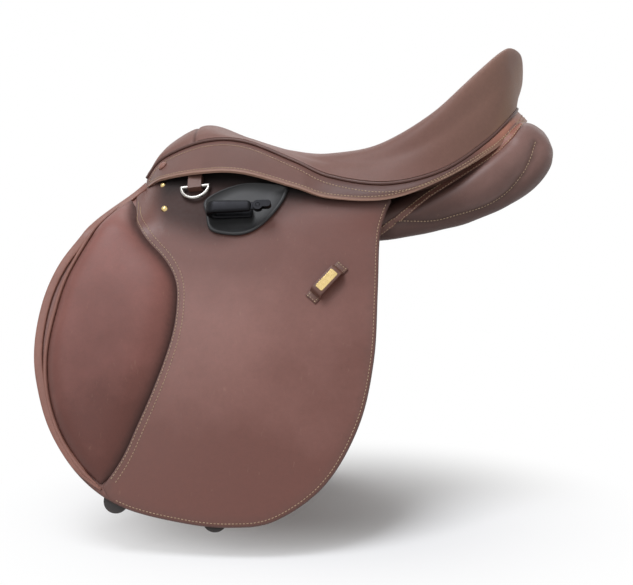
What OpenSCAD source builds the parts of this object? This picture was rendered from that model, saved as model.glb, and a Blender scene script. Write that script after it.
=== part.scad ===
// Jumping saddle: a padded seat on a sprung tree, forward-cut flaps with knee
// pads, small skirts over the stirrup bars, and a pair of stuffed panels.
// +X runs back to the cantle, +Y to the off side and +Z up. The origin is on the
// centre line, at the height where the panels bear on a back or on a rack.

/* [Seat] */
// Lowest point of the seat behind the origin
dip_x = 15; // [10:1:20]
// Height of the seat's lowest point over the bearing line
dip_h = 77; // [74:1:84]
// Lowest point of the seat forward to the top of the pommel
pommel_reach = 142; // [136:1:148]
// Top of the pommel forward to the nose
head_len = 67; // [63:1:71]
// Lowest point of the seat back to the top of the cantle
cantle_reach = 211; // [204:1:218]
// Rise of the pommel over the lowest point
pommel_rise = 38; // [34:1:42]
// Rise of the cantle over the lowest point
cantle_rise = 123; // [116:1:130]
// Width over the seat's welts at the twist
twist_w = 154; // [150:1:160]
// Width over the seat's welts where it is widest
seat_w = 254; // [248:1:260]
// Thickness of the seat cover's leather
cover_t = 2; // [1.5:0.1:2.5]
// Depth of the seat's foam at the lowest point
foam_t = 17; // [14:1:18]
// Diameter of the welt piping
welt_d = 4; // [3:0.1:5]

/* [Skirts] */
// Thickness of the skirt's leather
skirt_t = 3.5; // [2.5:0.1:4]
// How far the skirt's lip stands off the flap over the stirrup bar
mouth_gap = 18; // [14:1:22]
// How far the skirt's lip stands off the flap at its ends
lip_gap = 3; // [2:0.1:5]

/* [Flaps] */
// Half width between the flaps' inner faces at the fold, level with the origin
fold_y = 126; // [122:1:132]
// Depth of the flap's fold below the seat's lowest point
fold_drop = 95; // [93:1:97]
// Outward slope of the flap below the fold, in degrees
splay = 18; // [14:1:22]
// Turn of the flap's face towards the front, in degrees
toe_in = 3; // [2:0.1:4]
// Thickness of the flap's base leather
flap_t = 3; // [2.5:0.1:4]
// Thickness of the flap's facing leather
facing_t = 1.9; // [1.5:0.1:2.5]
// Height of the knee pad's crown over the flap
knee_h = 17; // [12:1:22]
// Diameter of the piping along the knee pad's front
piping_d = 5; // [4:0.1:6]

/* [Keeper] */
// Length of the stirrup-leather keeper
keeper_l = 52; // [46:1:58]
// Width of the keeper's strap
keeper_w = 14; // [12:1:18]
// Thickness of the keeper's strap
keeper_t = 2.4; // [2:0.1:3]
// Room under the keeper for the stirrup leather
keeper_gap = 8.5; // [7:0.1:10]
// Length of the keeper's metal plate
badge_l = 25; // [20:1:27]
// Width of the keeper's metal plate
badge_w = 9; // [7:0.5:11]
// Thickness of the keeper's metal plate
badge_t = 0.8; // [0.5:0.1:1.2]

/* [Girthing] */
// Width of a billet strap
billet_w = 25; // [22:1:28]
// Thickness of a billet strap
billet_t = 3.5; // [3:0.1:4]
// Hinge rivet down to the front billet's tip
front_billet_l = 281; // [260:1:300]
// Hinge rivet down to the rear billet's tip
rear_billet_l = 298; // [280:1:320]
// Diameter of a buckle-tongue hole
hole_d = 5; // [4:0.1:6]
// Spacing of the buckle-tongue holes
hole_pitch = 25; // [22:1:28]
// Number of buckle-tongue holes in a billet
hole_count = 6; // [4:1:7]
// Slant of the billets from the flap's fall line, in degrees
billet_slant = 4.5; // [3:0.1:6]
// Thickness of the sweat flap's leather
sweat_t = 3; // [2.5:0.1:3.5]
// Thickness of the girth webbing
web_t = 2; // [1.5:0.1:2.4]

/* [Stirrup bars] */
// Length of the stirrup bar
bar_l = 58; // [54:1:64]
// Height of the stirrup bar
bar_h = 14; // [12:1:16]
// Thickness of the stirrup bar
bar_t = 7; // [6.5:0.1:8]
// Room behind the bar for the stirrup leather
bar_gap = 9; // [8:0.1:10]
// Diameter of the catch's pin
pin_d = 4; // [3:0.1:4.5]
// Length of the catch beyond its pin
catch_l = 15; // [13:1:18]

/* [Dees and studs] */
// Wire diameter of the front dee ring
dee_wire = 4; // [3:0.1:4.4]
// Radius of the dee ring's bow, at the middle of the wire
dee_r = 15; // [13:0.5:16]
// Diameter of the skirt's button
button_d = 11; // [9:0.5:13]
// Diameter of the stud on the flap's head
stud_d = 8; // [6:0.5:9]

/* [Tree and panels] */
// Thickness of the tree's laminated frame
tree_t = 12; // [10:0.5:13]
// Width of the tree's rails
tree_w = 28; // [24:1:30]
// Thickness of the steel gullet plate
gullet_t = 5; // [4:0.5:6]
// Length of the gullet plate, front to back
gullet_l = 40; // [36:1:44]
// Thickness of a rail spring
spring_t = 2.4; // [2:0.1:3]
// Half width of the panel under the seat
panel_a = 45; // [42:1:47]
// Half depth of the panel under the seat
panel_b = 20; // [18:1:21]
// Lowest point of the seat down to the middle of the panels
panel_hang = 68; // [66:1:72]

/* [Hidden] */
$fn = 48;
gap = 0.5;
fit = 0.05;

// Small helpers for points and curves
function mix(a, b, k) = a + (b - a) * k;
function clamp(v, lo, hi) = min(max(v, lo), hi);
function unit(v) = v / norm(v);
function flip(p) = [p[0], -p[1], p[2]];
function catmull(a, b, c, d, k) =
    0.5 * (2 * b + (c - a) * k + (2 * a - 5 * b + 4 * c - d) * k * k + (3 * b - a - 3 * c + d) * k * k * k);

// Smooth curve through points; the ends run on straight, or on into a mirror image
function curve_at(P, t, mirrored = false) =
    let (n = len(P) - 1, i = clamp(floor(t), 0, n - 1),
         before = i > 0 ? P[i - 1] : 2 * P[0] - P[1],
         after = i < n - 1 ? P[i + 2] : mirrored ? flip(P[n - 1]) : 2 * P[n] - P[n - 1])
    catmull(before, P[i], P[i + 1], after, t - i);
function curve(P, steps) = [for (k = [0 : (len(P) - 1) * steps]) curve_at(P, k / steps)];
function loop(P, steps) =
    let (n = len(P))
    [for (i = [0 : n - 1], k = [0 : steps - 1])
        catmull(P[(i + n - 1) % n], P[i], P[(i + 1) % n], P[(i + 2) % n], k / steps)];
// Height of a curve through [place, height] pairs
function along(P, x, i = 0) =
    i < len(P) - 2 && x > P[i + 1][0] ? along(P, x, i + 1)
    : let (before = i > 0 ? P[i - 1] : 2 * P[0] - P[1],
           after = i < len(P) - 2 ? P[i + 2] : 2 * P[i + 1] - P[i],
           w = P[i + 1][0] - P[i][0], k = clamp((x - P[i][0]) / w, 0, 1),
           s0 = (P[i + 1][1] - before[1]) / (P[i + 1][0] - before[0]) * w,
           s1 = (after[1] - P[i][1]) / (after[0] - P[i][0]) * w)
      P[i][1] * (2 * k * k * k - 3 * k * k + 1) + s0 * (k * k * k - 2 * k * k + k)
      + P[i + 1][1] * (3 * k * k - 2 * k * k * k) + s1 * (k * k * k - k * k);

// Normals of a grid of points, rows by columns, to the left of the row direction
function grid_normal(G, i, j) =
    let (r = len(G) - 1, c = len(G[0]) - 1,
         du = G[min(i + 1, r)][j] - G[max(i - 1, 0)][j],
         dv = G[i][min(j + 1, c)] - G[i][max(j - 1, 0)])
    unit(cross(du, dv));
function offset_grid(G, d) =
    [for (i = [0 : len(G) - 1]) [for (j = [0 : len(G[0]) - 1]) G[i][j] + d * grid_normal(G, i, j)]];
function joined(G) = [for (row = G) each row];

// Closed solid between two grids of the same size, the second on the side the normals leave
module shell(outer, inner) {
    r = len(outer);
    c = len(outer[0]);
    at = function (side, i, j) side * r * c + i * c + j;
    skins = [for (i = [0 : r - 2], j = [0 : c - 2]) each [
        [at(0, i, j), at(0, i, j + 1), at(0, i + 1, j + 1)], [at(0, i, j), at(0, i + 1, j + 1), at(0, i + 1, j)],
        [at(1, i, j), at(1, i + 1, j + 1), at(1, i, j + 1)], [at(1, i, j), at(1, i + 1, j), at(1, i + 1, j + 1)]]];
    ends = [for (j = [0 : c - 2]) each [
        [at(0, 0, j), at(1, 0, j), at(1, 0, j + 1)], [at(0, 0, j), at(1, 0, j + 1), at(0, 0, j + 1)],
        [at(0, r - 1, j), at(1, r - 1, j + 1), at(1, r - 1, j)],
        [at(0, r - 1, j), at(0, r - 1, j + 1), at(1, r - 1, j + 1)]]];
    sides = [for (i = [0 : r - 2]) each [
        [at(0, i, 0), at(1, i + 1, 0), at(1, i, 0)], [at(0, i, 0), at(0, i + 1, 0), at(1, i + 1, 0)],
        [at(0, i, c - 1), at(1, i, c - 1), at(1, i + 1, c - 1)],
        [at(0, i, c - 1), at(1, i + 1, c - 1), at(0, i + 1, c - 1)]]];
    polyhedron(concat(joined(outer), joined(inner)), concat(skins, ends, sides));
}

// Closed solid through rings of points, capped at both ends or run round into itself
module skin(rings, round_trip = false) {
    r = len(rings);
    c = len(rings[0]);
    wall = [for (i = [0 : r - (round_trip ? 1 : 2)], j = [0 : c - 1])
        let (a = i * c + j, b = i * c + (j + 1) % c, d = (i + 1) % r * c + j, e = (i + 1) % r * c + (j + 1) % c)
        each [[a, b, e], [a, e, d]]];
    caps = round_trip ? [] : [for (j = [0 : c - 1]) each [
        [r * c, (j + 1) % c, j], [r * c + 1, (r - 1) * c + j, (r - 1) * c + (j + 1) % c]]];
    middle = function (ring) [for (k = [0 : 2]) [for (p = ring) p[k]] * [for (p = ring) 1 / c]];
    polyhedron(concat(joined(rings), round_trip ? [] : [middle(rings[0]), middle(rings[r - 1])]),
        concat(wall, caps));
}

// Rings across a path; each station is [x, y, z, half width, half depth, roll]
function ring_at(S, ahead, sides, square) =
    let (t = unit(ahead), h = unit(cross([0, 0, 1], t)), u = cross(t, h),
         wide = cos(S[5]) * h - sin(S[5]) * u, deep = sin(S[5]) * h + cos(S[5]) * u,
         ease = function (v) sign(v) * pow(abs(v), square))
    [for (k = [0 : sides - 1]) let (a = -360 * (k + 0.5) / sides)
        [S[0], S[1], S[2]] + S[3] * ease(cos(a)) * wide + S[4] * ease(sin(a)) * deep];
function place(S) = [S[0], S[1], S[2]];
function rings_along(S, sides, square = 1, round_trip = false) =
    let (n = len(S))
    [for (i = [0 : n - 1])
        ring_at(S[i], place(S[round_trip ? (i + 1) % n : min(i + 1, n - 1)])
            - place(S[round_trip ? (i + n - 1) % n : max(i - 1, 0)]), sides, square)];
module cordage(path, d, sides = 6)
    skin(rings_along([for (p = path) [p[0], p[1], p[2], d / 2, d / 2, 0]], sides));

// Near-side pieces are the off side's mirror image
module near_side() mirror([0, 1, 0]) children();

// Seat lines, at eleven stations from the nose to the cantle
nose_x = dip_x - pommel_reach - head_len;
pommel_x = dip_x - pommel_reach;
cantle_x = dip_x + cantle_reach;
pommel_z = dip_h + pommel_rise;
cantle_z = dip_h + cantle_rise;
twist_y = twist_w / 2;
seat_y = seat_w / 2;
STATIONS = 10;
crest = [
    [nose_x, 0, pommel_z - 53], [mix(nose_x, pommel_x, 0.33), 0, pommel_z - 21], [pommel_x, 0, pommel_z],
    [mix(pommel_x, dip_x, 0.35), 0, mix(dip_h, pommel_z, 0.6)],
    [mix(pommel_x, dip_x, 0.72), 0, mix(dip_h, pommel_z, 0.16)], [dip_x, 0, dip_h],
    [mix(dip_x, cantle_x, 0.28), 0, mix(dip_h, cantle_z, 0.03)],
    [mix(dip_x, cantle_x, 0.58), 0, mix(dip_h, cantle_z, 0.19)],
    [mix(dip_x, cantle_x, 0.81), 0, mix(dip_h, cantle_z, 0.49)],
    [mix(dip_x, cantle_x, 0.945), 0, mix(dip_h, cantle_z, 0.85)], [cantle_x, 0, cantle_z]];
welt_y = [34, 47, 62, twist_y, mix(twist_y, seat_y, 0.42), mix(twist_y, seat_y, 0.7),
    seat_y, seat_y - 1, seat_y - 23, seat_y - 61, 0];
welt_shift = [-1, -2, 0, -3, 0, 0, 0, -5, -4, 5, 11];
welt_drop = [8, 18, 22, 8, 14, 26, 38, 44, 49, 60, 64];
rim_shift = [-1, 0, 0, 0, 0, 0, -6, -14, -12, 0, 14];
rim_inset = [14, 17, 24, 27, 34, 34, 32, 19, 18, 15, 0];
rim_lift = [-2, -6, -7, -6, -3, -1, 4, 16, 25, 14, -6];
base_shift = [2, 2, 0, 0, 0, 0, 0, -5, -8, -2, 6];
base_depth = [-5, 3, 6, 3, 2, 2, 4, 8, 17, 29, 44];
welt = [for (i = [0 : STATIONS]) crest[i] + [welt_shift[i], welt_y[i], -welt_drop[i]]];
rim = [for (i = [0 : STATIONS]) crest[i] + [rim_shift[i], welt_y[i] - rim_inset[i], rim_lift[i]]];
base = [for (i = [0 : STATIONS]) crest[i] + [base_shift[i], 0, -base_depth[i] - foam_t]];

// Top of the seat from welt to welt at one station
side_swell = 5;
function seat_section(t) =
    let (c = curve_at(crest, t), w = curve_at(welt, t, true), r = curve_at(rim, t, true),
         out = unit([w[0] - c[0], w[1] - c[1], 0.01]), m = mix(w, r, 0.5) + side_swell * out)
    [w, m, r, c, flip(r), flip(m), flip(w)];
SEAT_STEPS = 3;
SECTION_STEPS = 3;
seat_top = [for (i = [0 : STATIONS * SEAT_STEPS]) curve(seat_section(i / SEAT_STEPS), SECTION_STEPS)];
// The last row is folded on to the centre line, so its offset stays there
function sunk_seat(d) =
    let (G = offset_grid(seat_top, d), last = len(G) - 1)
    [for (i = [0 : last]) i < last ? G[i] : [for (p = G[i]) [p[0], 0, p[2]]]];

// Where the flap's head meets the tree under the skirt
FRONT_SPAN = 7;
head_drop = 13;
head_inset = 7;
function welt_height(x) = along([for (i = [0 : FRONT_SPAN]) [welt[i][0], welt[i][2]]], x);
function welt_half(x) = along([for (i = [0 : FRONT_SPAN]) [welt[i][0], welt[i][1]]], x);
function head_ease(x) = clamp((x - nose_x) / 60, 0, 1);
function head_top_z(x) = welt_height(x) - head_drop * mix(1.4, 1, head_ease(x));
function head_top_y(x) = welt_half(x) - head_inset * mix(1.6, 1, head_ease(x));

// Inner face of the flap: a splayed plane below the fold, curving in to the tree above
fold_z = dip_h - fold_drop;
fall = tan(splay) / cos(toe_in);
function fold_half(x) = fold_y + tan(toe_in) * x;
function face_half(x, z) =
    z <= fold_z ? fold_half(x) + fall * (fold_z - z)
    : let (h = head_top_z(x) - fold_z, k = (z - fold_z) / h, y0 = fold_half(x), y1 = head_top_y(x),
           s1 = clamp(1.4 * (y0 - y1) / h, 0.15, 1.2))
      k > 1 ? y1 - s1 * (z - head_top_z(x))
      : y0 * (2 * k * k * k - 3 * k * k + 1) - fall * h * (k * k * k - 2 * k * k + k)
        + y1 * (3 * k * k - 2 * k * k * k) - s1 * h * (k * k * k - k * k);
function face_normal(x, z) =
    unit([(face_half(x - 1, z) - face_half(x + 1, z)) / 2, 1, (face_half(x, z - 1) - face_half(x, z + 1)) / 2]);
function on_face(x, z, n) = [x, face_half(x, z), z] + n * face_normal(x, z);
function patch(xs, zs, n) = [for (x = xs) [for (z = zs) on_face(x, z, n)]];
head_t = flap_t + facing_t + 0.1;

// Local frame of the flap's plane: along the fold, down the fall line, outwards
module flap_plane() translate([0, fold_y, fold_z]) rotate([splay - 90, 0, toe_in]) children();
function from_plane(p) =
    let (y = p[1] * sin(splay) + p[2] * cos(splay), z = p[2] * sin(splay) - p[1] * cos(splay))
    [p[0] * cos(toe_in) - y * sin(toe_in), fold_y + p[0] * sin(toe_in) + y * cos(toe_in), fold_z + z];
// Frame that stands on the flap's head at a point
module on_head(x, z, n) {
    k = face_normal(x, z);
    i = unit([1, 0, 0] - k[0] * k);
    j = cross(k, i);
    o = on_face(x, z, n);
    multmatrix([[i[0], j[0], k[0], o[0]], [i[1], j[1], k[1], o[1]], [i[2], j[2], k[2], o[2]], [0, 0, 0, 1]])
        children();
}

// Flat shapes
module rounded(w, h, r) {
    square([w - 2 * r, h], center = true);
    square([w, h - 2 * r], center = true);
    for (x = [r - w / 2, w / 2 - r], y = [r - h / 2, h / 2 - r]) translate([x, y]) circle(r);
}
module ball_head(d, h) {
    r = (d * d / 4 + h * h) / (2 * h);
    rotate_extrude() intersection() {
        translate([0, h - r]) circle(r);
        square([d, h]);
    }
}

// Tree: one laminated loop, over the head, back along both rails and round the cantle
rail_line = [
    [pommel_x - 10, 0, pommel_z - 40], [pommel_x - 6, 30, pommel_z - 43],
    [pommel_x + 24, 46, pommel_z - 45], [mix(pommel_x, dip_x, 0.45), 58, mix(dip_h, pommel_z, 0.5) - 36],
    [dip_x - 15, 74, dip_h - 32], [mix(dip_x, cantle_x, 0.25), 84, dip_h - 38],
    [mix(dip_x, cantle_x, 0.52), 82, dip_h - 26], [mix(dip_x, cantle_x, 0.75), 60, dip_h],
    [cantle_x - 26, 0, cantle_z - 97]];
rail_count = len(rail_line);
tree_ring = concat(rail_line, [for (i = [rail_count - 2 : -1 : 1]) flip(rail_line[i])]);
module tree() {
    path = loop(tree_ring, 4);
    color("burlywood")
        skin(rings_along([for (p = path) [p[0], p[1], p[2], tree_w / 2, tree_t / 2, 0]], 8, 0.55, true),
            true);
}

// Springs under the rails, between the head and the cantle
module rail_spring() {
    run = [for (p = curve([for (i = [2 : rail_count - 2]) rail_line[i]], 4))
        [p[0], p[1], p[2] - tree_t / 2 - spring_t / 2 - 4 * gap, tree_w / 4, spring_t / 2, 0]];
    color("dimgray") skin(rings_along(run, 8, 0.4));
}

// Webbing strained over the tree, under the foam
web_w = 26;
web_drop = 5;
module seat_webs() {
    z = function (x) along([for (i = [2 : STATIONS]) [base[i][0], base[i][2]]], x) - web_drop - web_t;
    span = [for (k = [0 : 12]) mix(pommel_x + 14, cantle_x - 48, k / 12)];
    color("wheat") for (y = [-web_w * 0.6, web_w * 0.6])
        shell([for (x = span) [[x, y - web_w / 2, z(x) + web_t], [x, y + web_w / 2, z(x) + web_t]]],
            [for (x = span) [[x, y - web_w / 2, z(x)], [x, y + web_w / 2, z(x)]]]);
}

// Gullet plate: a steel arch under the head, with legs down to the points
arch_top = [0, pommel_z - 48];
arch_knee = [38, pommel_z - 60];
arch_foot = [80, dip_h - 75];
gullet_x = pommel_x - 40;
function arch(drop) =
    let (leg = unit(arch_foot - arch_knee), side = [leg[1], -leg[0]],
         knee = arch_knee + side * drop, foot = arch_foot + side * drop,
         half = curve([[-knee[0], knee[1]], [0, arch_top[1] - drop], knee], 8))
    concat([[-foot[0], foot[1]]], half, [foot]);
function reversed(P) = [for (i = [len(P) - 1 : -1 : 0]) P[i]];
module arch_sheet(x, length, drop, t)
    translate([x, 0, 0]) rotate([90, 0, 90]) linear_extrude(length)
        polygon(concat(arch(drop), reversed(arch(drop + t))));
rivet_r = 3;
rivet_y = [-14, 14];
rivet_x = pommel_x - 14;
module gullet_plate() color("slategray") difference() {
    arch_sheet(gullet_x, gullet_l, 0, gullet_t);
    for (y = rivet_y) translate([rivet_x, y, 0]) cylinder(r = rivet_r, h = 2 * pommel_z);
}
module gullet_rivets() color("silver") for (y = rivet_y) translate([rivet_x, y, arch_top[1] - gullet_t - 2])
    cylinder(r = rivet_r, h = gullet_t + 2);

// Leather lining under the gullet plate, and the facing that closes the pommel's front
lining_t = 2;
lining_over = 4;
lining_gap = 3;
module gullet_lining() color("saddlebrown")
    arch_sheet(gullet_x - lining_over, gullet_l + lining_over, gullet_t + lining_gap, lining_t);
facing_x = gullet_x - lining_over - gap;
pommel_facing_t = 2.5;
facing_inset = 24;
module pommel_facing() {
    facing_z = [for (k = [0 : 8]) mix(arch_foot[1] + 8, base[0][2] - 2, k / 8)];
    edge = [for (z = facing_z) [face_half(facing_x, z) - facing_inset, z]];
    inside = arch(gullet_t + lining_gap + lining_t);
    color("saddlebrown") translate([facing_x, 0, 0]) rotate([90, 0, -90]) linear_extrude(pommel_facing_t)
        difference() {
            polygon(concat([for (p = edge) p], [for (p = reversed(edge)) [-p[0], p[1]]]));
            polygon(inside);
        }
}

// Seat cover: a leather skin over the whole top, open underneath
module seat_cover() {
    inner = sunk_seat(cover_t);
    seat_skin(seat_top, inner);
}
// The two halves share the centre line at the back, so the last row is half as long
module seat_skin(outer, inner) {
    r = len(outer);
    c = len(outer[0]);
    half = floor(c / 2);
    rows = (r - 1) * c;
    at = function (side, i, j) side * (rows + half + 1) + (i < r - 1 ? i * c + j : rows + min(j, c - 1 - j));
    quad = function (a, b, d, e) a == b ? [[a, d, e]] : d == e ? [[a, b, d]] : [[a, b, d], [a, d, e]];
    skins = [for (i = [0 : r - 2], j = [0 : c - 2]) each concat(
        quad(at(0, i, j), at(0, i, j + 1), at(0, i + 1, j + 1), at(0, i + 1, j)),
        quad(at(1, i, j), at(1, i + 1, j), at(1, i + 1, j + 1), at(1, i, j + 1)))];
    front = [for (j = [0 : c - 2]) each quad(at(0, 0, j), at(1, 0, j), at(1, 0, j + 1), at(0, 0, j + 1))];
    sides = [for (i = [0 : r - 2]) each concat(
        quad(at(0, i, 0), at(0, i + 1, 0), at(1, i + 1, 0), at(1, i, 0)),
        quad(at(0, i, c - 1), at(1, i, c - 1), at(1, i + 1, c - 1), at(0, i + 1, c - 1)))];
    points = function (G) concat([for (i = [0 : r - 2]) each G[i]], [for (j = [0 : half]) G[r - 1][j]]);
    color("rosybrown") polyhedron(concat(points(inner), points(outer)), concat(skins, front, sides));
}

// Seat foam: fills the cover down to the webbing
module seat_foam() {
    top = sunk_seat(cover_t + gap);
    r = len(top);
    c = len(top[0]);
    half = floor(c / 2);
    under = [for (i = [0 : r - 1]) let (b = curve_at(base, i / SEAT_STEPS))
        [mix(top[i][c - 1], b, 0.5), b, mix(top[i][0], b, 0.5)]];
    m = c + 3;
    rows = (r - 1) * m;
    at = function (i, j) let (k = j % m)
        i < r - 1 ? i * m + k : k < c ? rows + min(k, c - 1 - k) : rows + half + 1 + min(k - c, c + 2 - k);
    quad = function (a, b, d, e) a == b ? [[a, d, e]] : d == e ? [[a, b, d]] : [[a, b, d], [a, d, e]];
    wall = [for (i = [0 : r - 2], j = [0 : m - 1]) each
        quad(at(i, j), at(i + 1, j), at(i + 1, j + 1), at(i, j + 1))];
    cap = [for (j = [0 : m - 1]) if (j != c && j != c + 1) [at(0, c + 1), at(0, j), at(0, j + 1)]];
    last = [for (p = under[r - 1]) [p[0], 0, p[2]]];
    points = concat([for (i = [0 : r - 2]) each concat(top[i], under[i])],
        [for (j = [0 : half]) top[r - 1][j]], [last[0], last[1]]);
    color("gold") polyhedron(points, concat(wall, cap));
}

// Piping in the seam between the seat and the skirts, nose to nose round the cantle
module seat_welt() {
    side = [for (i = [0 : STATIONS * SEAT_STEPS]) curve_at(welt, i / SEAT_STEPS, true)
        - [0, welt_d * 0.3 * sign(STATIONS * SEAT_STEPS - i), welt_d / 2 + cover_t + 2 * gap]];
    color("saddlebrown") cordage(concat(side, [for (i = [len(side) - 2 : -1 : 0]) flip(side[i])]), welt_d);
}

// Skirt: hangs from the welt to a lip that opens over the stirrup bar, then runs
// round the cantle as a narrow band
lip_x = [4, 24, 70, 114, 171, 208, 268];
lip_z = concat([for (d = [73, 67, 61]) pommel_z - d], [for (d = [24, 40, 52, 57, 42]) dip_h - d],
    [for (d = [132, 100, 86]) cantle_z - d]);
lip_open = [0.1, 0.5, 0.95, 1, 0.5, 0.15, 0];
band_shift = [-4, 4, 3, 2];
band_swell = 3;
skirt_swell = 2;
function stand_off(x, z, i) =
    face_half(x, z) + head_t / face_normal(x, z)[1] + mix(lip_gap, mouth_gap, lip_open[i]) + skirt_t;
function lip_at(i) =
    i < FRONT_SPAN
        ? let (x = nose_x + lip_x[i]) [x, stand_off(x, lip_z[i], i), lip_z[i]]
        : [welt[i][0] + band_shift[i - FRONT_SPAN], welt[i][1] + (i < STATIONS ? band_swell : 0), lip_z[i]];
lip = [for (i = [0 : STATIONS]) lip_at(i)];
skirt_drop = welt_d + cover_t + 6 * gap;
SKIRT_ROWS = 4;
function skirt_point(t, v) =
    let (w = curve_at(welt, t, true) + [0, gap, -skirt_drop], l = curve_at(lip, t, true) + [0, gap, 0])
    mix(w, l, v) + [0, 4 * v * (1 - v) * skirt_swell * clamp(STATIONS - t, 0, 1), 0];
module skirt() {
    outer = [for (i = [0 : STATIONS * SEAT_STEPS])
        [for (j = [0 : SKIRT_ROWS]) skirt_point(i / SEAT_STEPS, j / SKIRT_ROWS)]];
    inner = offset_grid(outer, skirt_t);
    kept = [for (row = inner) [for (p = row) [p[0], max(p[1], gap), p[2]]]];
    color("rosybrown") shell(kept, outer);
}

// Covered buttons at the front of the skirts
button_h = 4;
button_t = 1;
button_v = 0.3;
module skirt_button() {
    o = skirt_point(button_t, button_v);
    e = 0.05;
    k = unit(cross(skirt_point(button_t, button_v + e) - o, skirt_point(button_t + e, button_v) - o));
    i = unit([1, 0, 0] - k[0] * k);
    j = cross(k, i);
    p = o + 2 * gap * k;
    multmatrix([[i[0], j[0], k[0], p[0]], [i[1], j[1], k[1], p[1]], [i[2], j[2], k[2], p[2]], [0, 0, 0, 1]])
        ball_head(button_d, button_h);
}
module skirt_buttons() color("saddlebrown") {
    skirt_button();
    near_side() skirt_button();
}

// Panel: a stuffed cushion under each side of the tree, turned up behind the cantle
panel_z = dip_h - panel_hang;
panel_line = [
    [nose_x + 12, 44, panel_z - 3, 14, 6, 58], [nose_x + 36, 44, panel_z - 1, 30, 13, 58],
    [pommel_x, 44, panel_z, 31, 13, 56], [mix(pommel_x, dip_x, 0.35), 58, panel_z + 5, 37, 19, 42],
    [dip_x - 15, 71, panel_z, panel_a, panel_b, 28], [dip_x + 60, 73, panel_z, panel_a, panel_b, 23],
    [dip_x + 125, 74, panel_z + 11, panel_a, panel_b + 2, 20],
    [dip_x + 172, 72, panel_z + 28, panel_a - 7, panel_b + 5, 18],
    [dip_x + 208, 62, panel_z + 57, panel_a - 14, panel_b + 4, 15],
    [dip_x + 224, 52, panel_z + 83, panel_a - 25, panel_b - 4, 12], [dip_x + 228, 47, panel_z + 98, 8, 6, 10]];
PANEL_STEPS = 3;
PANEL_SIDES = 22;
module panel() color("sienna")
    skin(rings_along(curve(panel_line, PANEL_STEPS), PANEL_SIDES, 0.75));

// Welt along the panel's upper outer seam, behind the flap
panel_welt_d = 3.5;
panel_welt_rise = 0.88;
module panel_welt() {
    line = curve([for (i = [5 : 9]) panel_line[i]], 5);
    path = [for (i = [0 : len(line) - 1])
        let (S = line[i], t = unit(place(line[min(i + 1, len(line) - 1)]) - place(line[max(i - 1, 0)])),
             h = unit(cross([0, 0, 1], t)), u = cross(t, h),
             wide = cos(S[5]) * h - sin(S[5]) * u, deep = sin(S[5]) * h + cos(S[5]) * u,
             out = panel_welt_d / 2 + gap,
             ease = function (v) pow(v, 0.75), a = asin(panel_welt_rise))
        place(S) + (S[3] * ease(cos(a)) + out) * wide + (S[4] * ease(sin(a)) + out) * deep];
    color("saddlebrown") cordage(path, panel_welt_d);
}

// Layers inside the flap, measured inwards from its inner face
slack = 1.6;
billet_n = -slack - billet_t;
sweat_n = billet_n - gap - 0.8 - sweat_t;
pivot_q = 8;
front_u = -176;
rear_u = -74;
web_half = 14;

// Sweat flap: the under flap beside the panel, cut out round the girth webs
sweat_line = [
    [-208, -6], [-222, 20], [-240, 70], [-247, 125], [-236, 180], [-200, 225], [-145, 248], [-80, 252],
    [-22, 236], [18, 192], [38, 125], [45, 55], [47, -6]];
sweat_slot = pivot_q + web_half + 4;
module sweat_flap() color("sienna") flap_plane() translate([0, 0, sweat_n]) linear_extrude(sweat_t)
    difference() {
        polygon(curve(sweat_line, 4));
        for (u = [front_u, rear_u]) translate([u - web_half - 2, -20]) square([2 * web_half + 4, 20 + sweat_slot]);
    }

// Girth webs: straps from under the flap's head down to the billets' rivets
module girth_webs() {
    n = billet_n - gap - 0.3;
    color("wheat") for (u = [front_u, rear_u]) {
        x = from_plane([u, 0, 0])[0];
        xs = [for (k = [0 : 2]) x + web_half * (k - 1)];
        zs = [for (k = [0 : 12]) mix(from_plane([u, pivot_q + web_half, n])[2], head_top_z(x) - 20, k / 12)];
        shell(patch(xs, zs, n - web_t), patch(xs, zs, n));
    }
}
rivet_head_d = 9;
rivet_head_t = 0.9;
billet_pin_r = 2.5;
module billet_rivet(u) flap_plane() translate([u, pivot_q, 0]) {
    translate([0, 0, billet_n - 0.5]) cylinder(r = billet_pin_r, h = billet_t + 0.5 + 0.3);
    translate([0, 0, billet_n + billet_t + 0.3]) cylinder(d = rivet_head_d, h = rivet_head_t);
}
module billet_rivets() color("silver") for (u = [front_u, rear_u]) {
    billet_rivet(u);
    near_side() billet_rivet(u);
}

// Billets: girth straps that swing on their rivets, with buckle holes and round tips
first_hole = 45;
billet_over = 12;
module billet(u, length) color("black") flap_plane() translate([u, pivot_q, billet_n]) rotate(billet_slant)
    linear_extrude(billet_t) difference() {
        union() {
            translate([-billet_w / 2, -billet_over]) square([billet_w, billet_over + length - billet_w / 2]);
            translate([0, length - billet_w / 2]) circle(d = billet_w);
        }
        circle(r = billet_pin_r + fit);
        for (k = [0 : hole_count - 1]) translate([0, length - first_hole - k * hole_pitch]) circle(d = hole_d);
    }

// Flap outline, down the front, round the foot and up the back
flap_line = [
    [-254, 0.3], [-275, 31], [-288, 70], [-293, 118], [-287, 160], [-268, 209], [-234, 253], [-191, 282],
    [-130, 297], [-80, 301], [-35, 293], [13, 258], [46, 199], [61, 132], [65, 60], [67, 0.3]];
FLAP_STEPS = 4;
module flap() color("rosybrown") flap_plane() linear_extrude(flap_t) polygon(curve(flap_line, FLAP_STEPS));

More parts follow.
